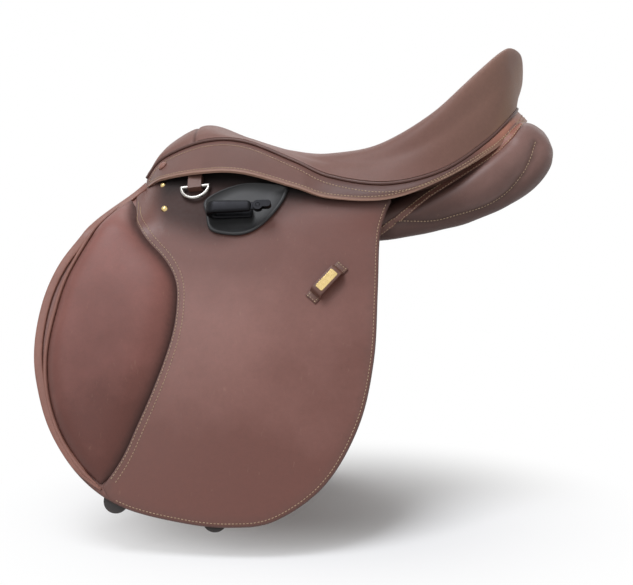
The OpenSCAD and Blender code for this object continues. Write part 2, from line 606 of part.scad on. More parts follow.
// Flap head: the top of the flap, fixed over the tree under the skirt
head_front = [flap_line[0][0], nose_x - 14];
head_rear = [flap_line[15][0], dip_x + 66];
HEAD_COLS = 18;
HEAD_ROWS = 5;
module flap_head() {
    grid = function (n) [for (i = [0 : HEAD_COLS]) [for (j = [0 : HEAD_ROWS])
        let (k = j / HEAD_ROWS, x = mix(mix(head_front[0], head_front[1], k), mix(head_rear[0], head_rear[1], k),
                 i / HEAD_COLS),
             p = on_face(x, mix(fold_z, head_top_z(x), k), n))
        j > 0 ? p : from_plane([x / cos(toe_in), 0, n])]];
    color("rosybrown") shell(grid(0), grid(head_t));
}

// Knee pad outline, down the front and back up the curved seam
knee_front = [[-244, 6], [-264, 48], [-273, 89], [-277, 123], [-275, 155], [-267, 186], [-253, 216], [-233, 243]];
knee_seam = [[-209, 261], [-193, 234], [-179, 200], [-167, 167], [-155, 133], [-148, 101], [-146, 69], [-149, 46],
    [-160, 26], [-180, 6]];
knee_line = concat(knee_front, knee_seam);
knee_centre = [-213, 128];
knee_edge = 3;
KNEE_RINGS = 5;
module knee_pad() {
    edge = loop(knee_line, 2);
    c = len(edge);
    ring = function (k) let (r = 1 - k / KNEE_RINGS, h = knee_edge + (knee_h - knee_edge) * (1 - pow(r, 2.6)))
        [for (p = edge) let (q = mix(knee_centre, p, r)) [q[0], q[1], h]];
    foot = [for (p = edge) [p[0], p[1], 0]];
    rings = concat([foot], [for (k = [0 : KNEE_RINGS - 1]) ring(k)]);
    color("indianred") flap_plane() translate([0, 0, flap_t + 0.1]) skin(rings);
}

// Piping between the knee pad and the flap's front edge
module knee_piping() {
    line = curve(concat(knee_front, [[-214, 258]]), 3);
    last = len(line) - 1;
    path = [for (i = [0 : last]) let (t = unit(line[min(i + 1, last)] - line[max(i - 1, 0)]),
            p = line[i] + [-t[1], t[0]] * (piping_d / 2 + 7 * gap))
        from_plane([p[0], p[1], flap_t + piping_d / 2 + 0.3])];
    color("saddlebrown") cordage(path, piping_d);
}

// Facing: the stiffer leather sewn over the flap behind the knee pad
seam_gap = 5;
module flap_facing() color("tan") flap_plane() translate([0, 0, flap_t + 0.1]) linear_extrude(facing_t)
    difference() {
        polygon(curve(flap_line, FLAP_STEPS));
        polygon(concat([[-400, 400], [-204, 400]],
            [for (p = curve(concat([[-204, 285]], knee_seam, [[-184, -10]]), 3)) p + [seam_gap, 0]], [[-400, -10]]));
    }

// Keeper: a strap sewn down at both ends across the flap, with a metal plate on it
keeper_at = [12, 50];
keeper_turn = -48;
keeper_in = 17;
keeper_slope = 3;
module on_keeper() flap_plane() translate([keeper_at[0], keeper_at[1], head_t + 0.1]) rotate(keeper_turn)
    children();
module keeper() {
    e = keeper_l / 2;
    t = keeper_t;
    g = keeper_gap;
    i = keeper_in;
    s = keeper_slope;
    half = [[i, 0], [e, 0], [e, t], [i + t, t], [i - s + t, g + t]];
    arch_under = [[-i, 0], [s - i, g], [i - s, g]];
    color("saddlebrown") on_keeper() translate([0, keeper_w / 2, 0]) rotate([90, 0, 0]) linear_extrude(keeper_w)
        polygon(concat(arch_under, half, reversed([for (p = half) [-p[0], p[1]]])));
}
module keeper_plate() color("goldenrod") on_keeper() translate([0, 0, keeper_gap + keeper_t])
    linear_extrude(badge_t) rounded(badge_l, badge_w, 1.5);

// Stirrup bar: a forged hook on a riveted base, open to the rear
bar_x = pommel_x + 46;
bar_z = dip_h - 71;
tray_at = [pommel_x + 48, dip_h - 58];
tray_t = 2.6;
tray_n = head_t + gap;
bar_base_t = 4;
bar_n = tray_n + tray_t + 0.4;
bar_front = -bar_l / 2 - 3;
bar_post = 11;
module on_bar() on_head(bar_x, bar_z, bar_n) children();
tray_line = [[-38, 2], [-38, -14], [-33, -30], [-14, -35], [4, -34], [20, -26], [36, -10], [46, 6], [44, 16], [0, 18]];
module bar_tray() {
    edge = loop(tray_line, 3);
    ring = function (r, n) [for (p = edge) on_face(tray_at[0] + r * p[0], tray_at[1] + r * p[1], n)];
    color("black") skin([ring(0.02, tray_n), ring(0.5, tray_n), ring(1, tray_n), ring(1, tray_n + tray_t),
        ring(0.5, tray_n + tray_t), ring(0.02, tray_n + tray_t)]);
}
tongue_t = 2.6;
tongue_l = 12;
tongue_w = 9;
bar_deep = bar_base_t + bar_gap;
module stirrup_bar() color("silver") on_bar() {
    rear = bar_front + bar_l - tongue_l;
    mid = bar_deep + (bar_t - tongue_t) / 2;
    translate([0, bar_h / 2, 0]) rotate([90, 0, 0]) linear_extrude(bar_h) polygon([
        [bar_front, 0], [rear, 0], [rear, bar_base_t], [bar_front + bar_post, bar_base_t],
        [bar_front + bar_post, bar_deep], [rear, bar_deep], [rear, bar_deep + bar_t],
        [bar_front + 4, bar_deep + bar_t], [bar_front, bar_deep + bar_t - 4]]);
    translate([rear, 0, mid]) linear_extrude(tongue_t) difference() {
        union() {
            translate([0, -tongue_w / 2]) square([tongue_l - 5, tongue_w]);
            translate([tongue_l - 5, 0]) circle(tongue_w / 2);
        }
        translate([tongue_l - 5, 0]) circle(d = pin_d);
    }
}
pin_u = bar_front + bar_l - 5;
module catch_pin() color("gainsboro") on_bar() translate([pin_u, 0, bar_deep]) cylinder(d = pin_d, h = bar_t);
// Catch: a forked lever on the bar's end, in line with the bar until it is turned up
fork_gap = 0.4;
fork_swing = 1.5;
module bar_catch() color("lightgray") on_bar() translate([pin_u, 0, bar_deep]) difference() {
    linear_extrude(bar_t) difference() {
        union() {
            circle(5.5);
            translate([0, -5.5]) square([catch_l - 5, 8]);
            translate([catch_l - 5, -1.5]) circle(4);
        }
        circle(d = pin_d + 2 * fit);
    }
    translate([0, 0, (bar_t - tongue_t) / 2 - fork_gap]) cylinder(r = 5.5 + fork_swing, h = tongue_t + 2 * fork_gap);
}

// Dee: a wire ring that hangs from a leather chape in front of the bar
dee_x = pommel_x - 3;
dee_z = dip_h - 44;
chape_w = 15;
chape_t = 8;
chape_h = 18;
dee_n = head_t + gap + chape_t / 2;
module on_dee() on_head(dee_x, dee_z, dee_n) children();
module dee_chape() color("saddlebrown") on_dee() difference() {
    translate([-chape_w / 2, chape_t / 2 - chape_h, -chape_t / 2]) cube([chape_w, chape_h, chape_t]);
    translate([-chape_w, 0, 0]) rotate([0, 90, 0]) cylinder(d = dee_wire + 2 * fit, h = 2 * chape_w);
}
module dee_ring() color("silver") on_dee() {
    translate([-dee_r, 0, 0]) rotate([0, 90, 0]) cylinder(d = dee_wire, h = 2 * dee_r);
    rotate_extrude(angle = 180) translate([dee_r, 0]) circle(d = dee_wire);
    for (x = [-dee_r, dee_r]) translate([x, 0, 0]) sphere(d = dee_wire);
}

// Brass studs at the front of the flap's head
stud_h = 3;
stud_at = [[nose_x + 27, dip_h - 39], [nose_x + 31, dip_h - 66]];
module flap_stud(p) on_head(p[0], p[1], head_t + 0.2) ball_head(stud_d, stud_h);
module flap_studs() color("goldenrod") for (p = stud_at) {
    flap_stud(p);
    near_side() flap_stud(p);
}

// The near side is at -Y
tree();
gullet_plate();
gullet_rivets();
gullet_lining();
pommel_facing();
near_side() rail_spring();  // rail_spring_left
rail_spring();  // rail_spring_right
seat_webs();
seat_foam();
seat_cover();
seat_welt();
near_side() skirt();  // skirt_left
skirt();  // skirt_right
skirt_buttons();
near_side() panel();  // panel_left
panel();  // panel_right
near_side() panel_welt();  // panel_welt_left
panel_welt();  // panel_welt_right
near_side() sweat_flap();  // sweat_flap_left
sweat_flap();  // sweat_flap_right
near_side() girth_webs();  // girth_webs_left
girth_webs();  // girth_webs_right
billet_rivets();
near_side() flap_head();  // flap_head_left
flap_head();  // flap_head_right
flap_studs();
near_side() bar_tray();  // bar_tray_left
bar_tray();  // bar_tray_right
near_side() stirrup_bar();  // stirrup_bar_left
stirrup_bar();  // stirrup_bar_right
near_side() catch_pin();  // catch_pin_left
catch_pin();  // catch_pin_right
near_side() bar_catch();  // bar_catch_left
bar_catch();  // bar_catch_right
near_side() dee_chape();  // dee_chape_left
dee_chape();  // dee_chape_right
near_side() dee_ring();  // dee_ring_left
dee_ring();  // dee_ring_right
near_side() billet(front_u, front_billet_l);  // front_billet_left
billet(front_u, front_billet_l);  // front_billet_right
near_side() billet(rear_u, rear_billet_l);  // rear_billet_left
billet(rear_u, rear_billet_l);  // rear_billet_right
near_side() flap();  // flap_left
flap();  // flap_right
near_side() flap_facing();  // flap_facing_left
flap_facing();  // flap_facing_right
near_side() knee_pad();  // knee_pad_left
knee_pad();  // knee_pad_right
near_side() knee_piping();  // knee_piping_left
knee_piping();  // knee_piping_right
near_side() keeper();  // keeper_left
keeper();  // keeper_right
near_side() keeper_plate();  // keeper_plate_left
keeper_plate();  // keeper_plate_right
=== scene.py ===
# Jumping saddle: the looks of every piece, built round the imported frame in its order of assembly.
# Shapes are in millimetres on the off side and are turned to metres, or mirrored, as they are made.
import math
import bpy
import bmesh
import numpy as np
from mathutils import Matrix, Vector, geometry, noise
from mathutils.bvhtree import BVHTree


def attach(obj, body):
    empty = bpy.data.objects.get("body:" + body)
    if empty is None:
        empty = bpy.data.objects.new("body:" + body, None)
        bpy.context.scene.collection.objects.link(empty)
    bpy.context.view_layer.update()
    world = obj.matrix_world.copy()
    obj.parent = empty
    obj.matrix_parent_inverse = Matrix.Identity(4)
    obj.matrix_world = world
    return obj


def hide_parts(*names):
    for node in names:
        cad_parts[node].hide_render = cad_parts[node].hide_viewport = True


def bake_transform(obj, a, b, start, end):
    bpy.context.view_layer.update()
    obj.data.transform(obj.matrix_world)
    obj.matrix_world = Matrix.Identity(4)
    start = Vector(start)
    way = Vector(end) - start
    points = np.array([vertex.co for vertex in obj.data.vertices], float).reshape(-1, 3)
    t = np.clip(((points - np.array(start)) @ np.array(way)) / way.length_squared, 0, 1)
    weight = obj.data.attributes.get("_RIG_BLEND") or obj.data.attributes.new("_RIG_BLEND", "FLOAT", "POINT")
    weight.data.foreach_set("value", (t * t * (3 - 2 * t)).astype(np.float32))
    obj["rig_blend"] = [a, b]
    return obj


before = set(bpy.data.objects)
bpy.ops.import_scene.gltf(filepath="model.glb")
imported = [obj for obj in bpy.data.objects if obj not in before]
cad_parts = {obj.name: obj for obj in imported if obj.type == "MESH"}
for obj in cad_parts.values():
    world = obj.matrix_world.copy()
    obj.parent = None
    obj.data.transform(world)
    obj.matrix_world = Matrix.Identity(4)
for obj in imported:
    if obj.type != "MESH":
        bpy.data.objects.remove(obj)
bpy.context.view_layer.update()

# Stage
# The saddle floats over a pale floor that runs into a white backdrop.
# Broad soft lamps stand in for daylight from above and in front; the camera is level with the flap.
VIEW_CENTRE = Vector((0, 0, -0.082))
VIEW_DISTANCE = 1.2
VIEW_ELEVATION = math.radians(3)
VIEW_WIDTH = 0.7533
FLOOR_Z = -0.336
FLOOR_HALF = 6
SHADOW_NEAR = 0.05
SHADOW_FAR = 0.42
SKY_LIGHT = 0.28
WHITE = (1, 1, 1, 1)
LAMPS = (  # name, place, size, power, colour
    ("window_lamp", (-0.6, -1.0, 1.8), 0.9, 33, (0.93, 0.95, 1.0)),
    ("side_lamp", (-1.0, -1.5, 0.9), 0.8, 8, (0.93, 0.95, 1.0)),
    ("room_lamp", (1.3, -1.4, 0.6), 1.5, 3, (1.0, 0.97, 0.93)),
    ("back_lamp", (0.2, 1.2, 1.9), 1.3, 10, (1.0, 1.0, 1.0)))
scene = bpy.context.scene
scene.view_settings.view_transform = "Standard"


def linear(colour):
    """An 0-255 screen colour as the linear RGBA that a shader socket takes."""
    part = [c / 255 for c in colour]
    return [c / 12.92 if c <= 0.04045 else ((c + 0.055) / 1.055) ** 2.4 for c in part] + [1]


def fill(tree, node, values):
    """Each input gets its value, or a link where the value is another node's output."""
    for key, value in values.items():
        if isinstance(value, bpy.types.NodeSocket):
            tree.links.new(value, node.inputs[key])
        else:
            node.inputs[key].default_value = value


def add_node(tree, kind, values=None, **settings):
    made = tree.nodes.new(kind)
    for key, value in settings.items():
        setattr(made, key, value)
    fill(tree, made, values or {})
    return made


def feed(tree, kind, values=None, output=0, **settings):
    """One output of a new node."""
    return add_node(tree, kind, values, **settings).outputs[output]


def calc(tree, operation, *values, **settings):
    """A sum done on numbers and outputs."""
    return feed(tree, "ShaderNodeMath", dict(enumerate(values)), operation=operation, **settings)


def mapped(tree, value, start, end, low=0.0, high=1.0, kind="LINEAR"):
    """A value's place between start and end, carried over to low and high."""
    bounds = {"Value": value, "From Min": start, "From Max": end, "To Min": low, "To Max": high}
    return feed(tree, "ShaderNodeMapRange", bounds, interpolation_type=kind)


def spot(tree):
    """The place on the piece itself, so that a texture stays with it."""
    return feed(tree, "ShaderNodeTexCoord", output="Object")


def seen_ray(tree):
    """A value of 1 for the camera's rays and for what metal and glass show of the background."""
    path = add_node(tree, "ShaderNodeLightPath").outputs
    first = calc(tree, "MAXIMUM", path["Is Camera Ray"], path["Is Glossy Ray"])
    return calc(tree, "MAXIMUM", first, path["Is Transmission Ray"])


def add_object(name, data):
    made = bpy.data.objects.new(name, data)
    scene.collection.objects.link(made)
    return made


def new_material(name, colour, roughness, metallic=0.0):
    made = bpy.data.materials.new(name)
    made.use_nodes = True
    tree = made.node_tree
    shader = tree.nodes["Principled BSDF"]
    fill(tree, shader, {"Base Color": linear(colour), "Roughness": roughness, "Metallic": metallic})
    return made, tree, shader


camera = add_object("camera", bpy.data.cameras.new("camera"))
back = Vector((0, -math.cos(VIEW_ELEVATION), math.sin(VIEW_ELEVATION)))
camera.location = VIEW_CENTRE + VIEW_DISTANCE * back
camera.rotation_euler = (math.pi / 2 - VIEW_ELEVATION, 0, 0)
camera.data.lens = camera.data.sensor_width * VIEW_DISTANCE / VIEW_WIDTH
scene.camera = camera
for name, place, size, power, colour in LAMPS:
    lamp = bpy.data.lights.new(name, "AREA")
    lamp.size = size
    lamp.energy = power
    lamp.color = colour
    lit = add_object(name, lamp)
    lit.location = place
    lit.rotation_euler = (VIEW_CENTRE - lit.location).to_track_quat("-Z", "Y").to_euler()

world = bpy.data.worlds.new("daylight")
world.use_nodes = True
scene.world = world
sky = world.node_tree
level = mapped(sky, seen_ray(sky), 0.0, 1.0, SKY_LIGHT, 1.0)
fill(sky, sky.nodes["Background"], {"Color": WHITE, "Strength": level})

floor_paint, tree, shader = new_material("floor_paint", (250, 250, 250), 0.9)
away = feed(tree, "ShaderNodeVectorMath", {0: spot(tree)}, "Value", operation="LENGTH")
fade = mapped(tree, away, SHADOW_NEAR, SHADOW_FAR, kind="SMOOTHSTEP")
shown = calc(tree, "MULTIPLY", fade, seen_ray(tree))
glow = feed(tree, "ShaderNodeEmission", {"Color": WHITE, "Strength": 1.0})
paint = feed(tree, "ShaderNodeMixShader", {0: shown, 1: shader.outputs[0], 2: glow})
fill(tree, tree.nodes["Material Output"], {"Surface": paint})
floor_mesh = bpy.data.meshes.new("floor")
corners = [(FLOOR_HALF * x, FLOOR_HALF * y, 0) for x, y in ((-1, -1), (1, -1), (1, 1), (-1, 1))]
floor_mesh.from_pydata(corners, [], [(0, 1, 2, 3)])
floor_mesh.materials.append(floor_paint)
floor = add_object("floor", floor_mesh)
floor.location.z = FLOOR_Z

# Tree, gullet plate, springs and webbing
# The stiff inside of the saddle: a laminated beech loop with a riveted steel arch over the withers,
# two spring-steel strips along the rails, and woven webs strained from head to cantle.
MM = 0.001
SHARP_DEGREES = 28


def dress(material, slot, *nodes):
    for node in nodes:
        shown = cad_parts[node]
        shown.data.materials.clear()
        shown.data.materials.append(material)


def new_group(name, **inputs):
    """A shader group that takes these numbers and colours, and the outputs that carry them in it."""
    made = bpy.data.node_groups.new(name, "ShaderNodeTree")
    for label, default in inputs.items():
        kind = "NodeSocketFloat" if isinstance(default, float) else "NodeSocketColor"
        made.interface.new_socket(label, in_out="INPUT", socket_type=kind).default_value = default
    return made, add_node(made, "NodeGroupInput").outputs


def group_gives(group, **outputs):
    for label in outputs:
        kind = "NodeSocketColor" if label == "Color" else "NodeSocketFloat"
        group.interface.new_socket(label, in_out="OUTPUT", socket_type=kind)
    fill(group, add_node(group, "NodeGroupOutput"), outputs)


def use_group(tree, group, **values):
    return add_node(tree, "ShaderNodeGroup", values, node_tree=group).outputs


def cloudy(tree, at, scale, detail, roughness=0.5, output=0):
    """Soft noise at a place."""
    values = {"Vector": at, "Scale": scale, "Detail": detail, "Roughness": roughness}
    return feed(tree, "ShaderNodeTexNoise", values, output)


def mixed(tree, share, first, second):
    """A colour that share of the way from the first to the second."""
    return feed(tree, "ShaderNodeMix", {0: share, 6: first, 7: second}, 2, data_type="RGBA")


def relief(tree, shader, height, depth, strength=1.0):
    """A bump of that depth in metres from a height, into the shader's normal."""
    bump = feed(tree, "ShaderNodeBump", {"Strength": strength, "Distance": depth, "Height": height})
    fill(tree, shader, {"Normal": bump})


metal_wear, given = new_group("metal_wear", Roughness=0.3, Spread=0.2, Scale=120.0)
cloud = cloudy(metal_wear, spot(metal_wear), given["Scale"], 5.0, 0.65)
uneven = calc(metal_wear, "SUBTRACT", cloud, 0.5)
rough = calc(metal_wear, "MULTIPLY_ADD", uneven, given["Spread"], given["Roughness"])
group_gives(metal_wear, Roughness=rough, Height=cloud)


def metal(name, colour, roughness, spread, scale, depth):
    made, tree, shader = new_material(name, colour, roughness, 1.0)
    worn = use_group(tree, metal_wear, Roughness=roughness, Spread=spread, Scale=scale)
    fill(tree, shader, {"Roughness": worn["Roughness"]})
    relief(tree, shader, worn["Height"], depth, 0.4)
    return made


steel = metal("steel", (126, 128, 130), 0.42, 0.3, 90.0, 0.0002)

laminate, tree, shader = new_material("laminated_wood", (186, 146, 98), 0.55)
bands = {"Vector": spot(tree), "Scale": 160.0, "Distortion": 1.2, "Detail": 3.0}
plies = feed(tree, "ShaderNodeTexWave", bands, bands_direction="Z")
fill(tree, shader, {"Base Color": mixed(tree, plies, linear((196, 158, 110)), linear((158, 114, 72)))})
relief(tree, shader, plies, 0.0002, 0.5)

weave, given = new_group("weave", Threads=700.0)
waves = {"Vector": spot(weave), "Scale": given["Threads"], "Distortion": 0.3}
warp, weft = [feed(weave, "ShaderNodeTexWave", waves, bands_direction=axis) for axis in "XZ"]
group_gives(weave, Height=calc(weave, "MULTIPLY", warp, weft))
webbing, tree, shader = new_material("webbing", (196, 184, 160), 0.85)
cloth = use_group(tree, weave, Threads=260.0)["Height"]
fill(tree, shader, {"Base Color": mixed(tree, cloth, linear((150, 136, 112)), linear((206, 194, 168)))})
relief(tree, shader, cloth, 0.0006, 0.8)


def smooth_object(name, mesh, *materials):
    mesh.polygons.foreach_set("use_smooth", [True] * len(mesh.polygons))
    for material in materials:
        mesh.materials.append(material)
    return add_object(name, mesh)


def applied(made):
    """The object with its modifiers turned into mesh."""
    ready = made.evaluated_get(bpy.context.evaluated_depsgraph_get())
    mesh = bpy.data.meshes.new_from_object(ready)
    made.modifiers.clear()
    made.data = mesh
    return made


def rounded(made, width, segments, angle):
    """The object with every edge that turns by more than an angle rounded off."""
    bevel = made.modifiers.new("round", "BEVEL")
    bevel.width = width * MM
    bevel.segments = segments
    bevel.limit_method = "ANGLE"
    bevel.angle_limit = math.radians(angle)
    made.modifiers.new("flat", "WEIGHTED_NORMAL")
    return applied(made)


def fitted(piece, body, slot, *nodes):
    """The piece goes with a body and stands for these solids, if any. The slot is not used."""
    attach(piece, body)
    if nodes:
        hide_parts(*nodes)
    return piece


def softened(node, width, material, slot, body="saddle", segments=2):
    """A copy of a hard-edged solid with every sharp edge rounded off."""
    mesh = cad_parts[node].data.copy()
    work = bmesh.new()
    work.from_mesh(mesh)
    bmesh.ops.remove_doubles(work, verts=work.verts, dist=1e-6)
    bmesh.ops.dissolve_limit(work, angle_limit=math.radians(1), verts=work.verts, edges=work.edges)
    work.to_mesh(mesh)
    work.free()
    for label in [a.name for a in mesh.attributes if a.name == "custom_normal"]:
        mesh.attributes.remove(mesh.attributes[label])
    mesh.materials.clear()
    made = smooth_object(node + "_soft", mesh, material)
    fitted(rounded(made, width, segments, SHARP_DEGREES), body, slot, node)


dress(laminate, "laminated_wood", "tree")
dress(steel, "steel", "gullet_plate", "gullet_rivets", "rail_spring_left", "rail_spring_right")
softened("seat_webs", 0.4, webbing, "webbing")

# Gullet lining and pommel facing
# Thin leather pasted under the arch and over the front of the pommel, with its cut edges burnished.
# The hide's grain and its tones are set up here, and every other leather takes its own values of them.


def scaled(tree, vector, size):
    """A place or a colour times a number."""
    return feed(tree, "ShaderNodeVectorMath", {0: vector, "Scale": size}, operation="SCALE")


hide_grain, given = new_group("hide_grain", Cells=800.0)
sized = scaled(hide_grain, spot(hide_grain), given["Cells"])
drift = cloudy(hide_grain, sized, 0.4, 2.0, output="Color")
bent = feed(hide_grain, "ShaderNodeVectorMath", {0: sized, 1: drift}, operation="ADD")
pebble = feed(hide_grain, "ShaderNodeTexVoronoi", {"Vector": bent, "Scale": 1.0}, "Distance",
              feature="DISTANCE_TO_EDGE")
crease = mapped(hide_grain, pebble, 0.0, 0.28, kind="SMOOTHSTEP")
pore = cloudy(hide_grain, sized, 2.6, 3.0)
group_gives(hide_grain, Height=feed(hide_grain, "ShaderNodeMix", {0: 0.4, 2: crease, 3: pore}), Crease=crease)

brown = (0.3, 0.2, 0.15, 1)
hide_tone, given = new_group(
    "hide_tone", Base=brown, Deep=brown, Edge=brown, Pale=brown, Crease=1.0, Patches=14.0, Roughness=0.45)
at = spot(hide_tone)
# Values that pieces set at their points mix in the edge, darker and paler tones; the last of the four is
# painted shade, which takes the colour down to near black and roughens it.
edge, deep, pale, grime = [feed(hide_tone, "ShaderNodeAttribute", output="Fac", attribute_name=label)
                           for label in ("edge", "deep", "pale", "grime")]
patch = mapped(hide_tone, cloudy(hide_tone, at, given["Patches"], 5.0, 0.6), 0.36, 0.68)
depth = calc(hide_tone, "MULTIPLY_ADD", patch, 0.6, deep, use_clamp=True)
colour = mixed(hide_tone, depth, given["Base"], given["Deep"])
streaks = {"Vector": at, "Rotation": (0.3, 0.35, 0.0), "Scale": (1.0, 1.0, 0.12)}
lain = feed(hide_tone, "ShaderNodeMapping", streaks)
scuff = mapped(hide_tone, cloudy(hide_tone, lain, 240.0, 3.0, 0.6), 0.66, 0.8, 0.0, 0.3)
colour = mixed(hide_tone, calc(hide_tone, "MAXIMUM", pale, scuff), colour, given["Pale"])
colour = mixed(hide_tone, edge, colour, given["Edge"])
speck = cloudy(hide_tone, at, 210.0, 4.0, 0.7)
shade = calc(hide_tone, "MULTIPLY", mapped(hide_tone, speck, 0.3, 0.7, 0.94, 1.05),
             mapped(hide_tone, given["Crease"], 0.0, 1.0, 0.9, 1.0))
# Painted shade: the colour darkened down to near black where a piece asks for it.
shade = calc(hide_tone, "MULTIPLY", shade, mapped(hide_tone, grime, 0.0, 1.0, 1.0, 0.06))
rough = calc(hide_tone, "MULTIPLY_ADD", speck, 0.22, calc(hide_tone, "SUBTRACT", given["Roughness"], 0.11))
rough = calc(hide_tone, "MULTIPLY_ADD", grime, 0.4, rough, use_clamp=True)
group_gives(hide_tone, Color=scaled(hide_tone, colour, shade), Roughness=rough)


def leather(name, base, deep, edge, roughness=0.46, cells=800.0, depth=0.0003, patches=14.0,
            pale=(150, 118, 96), gloss=0.36):
    """Dyed hide: two tones in patches, others at cut edges and where it is rubbed, and a pebbled grain.
    Pieces may add painted shade, in the darker tone and down to near black, and painted highlight in the
    paler tone.
    """
    made, tree, shader = new_material(name, base, roughness)
    grain = use_group(tree, hide_grain, Cells=cells)
    tone = use_group(
        tree, hide_tone, Base=linear(base), Deep=linear(deep), Edge=linear(edge), Pale=linear(pale),
        Crease=grain["Crease"], Patches=patches, Roughness=roughness)
    fill(tree, shader, {"Base Color": tone["Color"], "Roughness": tone["Roughness"]})
    fill(tree, shader, {"Specular IOR Level": gloss})
    relief(tree, shader, grain["Height"], depth, 0.5)
    return made


under_leather = leather("under_leather", (88, 62, 52), (70, 46, 38), (58, 38, 30), 0.55)
softened("gullet_lining", 0.6, under_leather, "under_leather")
softened("pommel_facing", 0.8, under_leather, "under_leather")

# Panels
# The two stuffed cushions that bear on the horse: soft calf over flock, sewn to a facing with a bound
# seam up the back and a gusset seam below it. Their cross-section rolls over towards the spine.
PANEL_LINE = (  # x, y, z, half width, half depth, roll
    (-182, 44, 6, 14, 6, 58), (-158, 44, 8, 30, 13, 58), (-127, 44, 9, 31, 13, 56), (-77, 58, 14, 37, 19, 42),
    (0, 71, 9, 45, 20, 28), (75, 73, 9, 45, 20, 23), (139, 75, 26, 45, 27, 20), (164, 75, 35, 43, 30, 19),
    (185, 74, 45, 40, 33, 18), (203, 71, 55.5, 37.5, 35, 17), (217, 67.5, 65.5, 35.5, 36, 16),
    (227, 65, 76, 34, 35.5, 15), (234, 63, 86, 31, 32, 14), (239, 61.5, 94, 26, 27, 13),
    (242.6, 60.5, 99.6, 19, 20, 12), (244.8, 60, 103.2, 12, 13, 12), (245.8, 59.7, 105, 6, 6.5, 12),
    (246.2, 59.6, 105.6, 1, 1, 12))
PANEL_SIDES = 88
PANEL_STEPS = 13
BINDING = ((66, -12), (95, 9), (120, 28), (150, 47), (187, 71), (206, 88), (217, 100), (226, 109))
GUSSET = ((84, 1), (124, 1), (153, 8), (184, 18), (208, 34), (228, 60), (238, 86))
BINDING_HALF = 2.8
SIDES = (("right", 1.0), ("left", -1.0))
panel_leather = leather("panel_leather", (130, 98, 91), (96, 67, 60), (72, 48, 41), 0.4, 900.0, 0.00012, 10.0)
seam_leather = leather("seam_leather", (112, 76, 66), (92, 60, 51), (80, 52, 44), 0.42, 1200.0, 0.0001, 14.0,
                       (160, 98, 78))


def unit(v):
    v = np.asarray(v, float)
    return v / np.maximum(np.linalg.norm(v, axis=-1, keepdims=True), 1e-9)


def spline(points, steps, closed=False, tail=None):
    """A smooth curve through the points, with that many steps from each to the next."""
    p = np.asarray(points, float)
    if closed:
        q = np.vstack([p[-1:], p, p[:2]])
    else:
        last = 2 * p[-1] - p[-2] if tail is None else np.asarray(tail, float)
        q = np.vstack([2 * p[0] - p[1], p, last])
    k = (np.arange(steps) / steps)[:, None]
    out = []
    for a, b, c, d in zip(q, q[1:], q[2:], q[3:]):
        out.append(0.5 * (2 * b + (c - a) * k + (2 * a - 5 * b + 4 * c - d) * k ** 2
                          + (3 * b - a - 3 * c + d) * k ** 3))
    return np.vstack(out if closed else out + [p[-1:]])


def bell(v, width):
    """1 at nought, falling away on both sides within about that width."""
    return np.exp(-(v / width) ** 2)


def grid_normals(grid):
    return unit(np.cross(np.gradient(grid, axis=1), np.gradient(grid, axis=0)))


def tinted(mesh, tints):
    """Values at each point, which the leathers read by name."""
    for label, values in tints.items():
        layer = mesh.attributes.new(label, "FLOAT", "POINT")
        layer.data.foreach_set("value", np.ravel(values).astype(np.float32))


def add_piece(name, shape, material, sign=1.0, **tints):
    """A closed smooth mesh from points and faces, mirrored by the sign, with its faces turned outwards."""
    p = shape[0] * np.array((1, sign, 1))
    a, b, c = np.array([(f[0], f[i], f[i + 1]) for f in shape[1] for i in range(1, len(f) - 1)]).T
    whole = np.sum(p[a] * np.cross(p[b], p[c]))
    mesh = bpy.data.meshes.new(name)
    faces = shape[1] if whole >= 0 else [tuple(reversed(f)) for f in shape[1]]
    mesh.from_pydata((p * MM).tolist(), [], faces)
    tinted(mesh, tints)
    return smooth_object(name, mesh, material)


def skin(rings):
    """Points and faces of a skin over rings of points, closed at both ends."""
    rings = np.asarray(rings, float)
    sides = rings.shape[1]
    points = np.vstack([rings.reshape(-1, 3), rings[0].mean(0), rings[-1].mean(0)])
    cap = len(points) - 2
    last = cap - sides
    turn = [(j, (j + 1) % sides) for j in range(sides)]
    faces = [(a + j, a + k, a + sides + k, a + sides + j) for a in range(0, last, sides) for j, k in turn]
    for j, k in turn:
        faces += [(cap, k, j), (cap + 1, last + j, last + k)]
    return points, faces


def squared(sides, power):
    """Cosines and sines round a circle that is squared off where the power is under 1."""
    a = np.arange(sides) * 2 * np.pi / sides
    return [(np.sign(v) * np.abs(v) ** power)[None, :, None] for v in (np.cos(a), np.sin(a))]


def cushion_rings(line, sides, power):
    """Squared-off oval rings across stations of x, y, z, half width, half depth and roll."""
    at = line[:, :3]
    t = unit(np.gradient(at, axis=0))
    h = unit(np.array((0, 1, 0)) - t[:, 1:2] * t)
    u = np.cross(t, h)
    roll = np.radians(line[:, 5:6])
    wide = np.cos(roll) * h - np.sin(roll) * u
    deep = np.sin(roll) * h + np.cos(roll) * u
    c, s = squared(sides, power)
    half_wide, half_deep = line[:, 3, None, None], line[:, 4, None, None]
    return at[:, None] + half_wide * c * wide[:, None] + half_deep * s * deep[:, None]


def even(points, spacing, closed=False):
    """The same line with its points evenly spaced."""
    p = np.asarray(points, float)
    if closed:
        p = np.vstack([p, p[:1]])
    d = np.r_[0, np.cumsum(np.linalg.norm(np.diff(p, axis=0), axis=1))]
    s = np.linspace(0, d[-1], max(2, int(round(d[-1] / spacing))) + 1)
    if closed:
        s = s[:-1]
    return np.stack([np.interp(s, d, p[:, i]) for i in range(p.shape[1])], axis=1)


def dropped_on(points, faces, line):
    """Points and normals where a line of x, z meets a surface seen from its outer side."""
    tree = BVHTree.FromPolygons(points.tolist(), faces)
    hits = [tree.ray_cast(Vector((x, 400, z)), Vector((0, -1, 0))) for x, z in line]
    hits = [h for h in hits if h[0] is not None]
    normals = np.array([h[1] for h in hits])
    normals *= np.where(normals[:, 1:2] < 0, -1, 1)
    return np.array([h[0] for h in hits]), normals


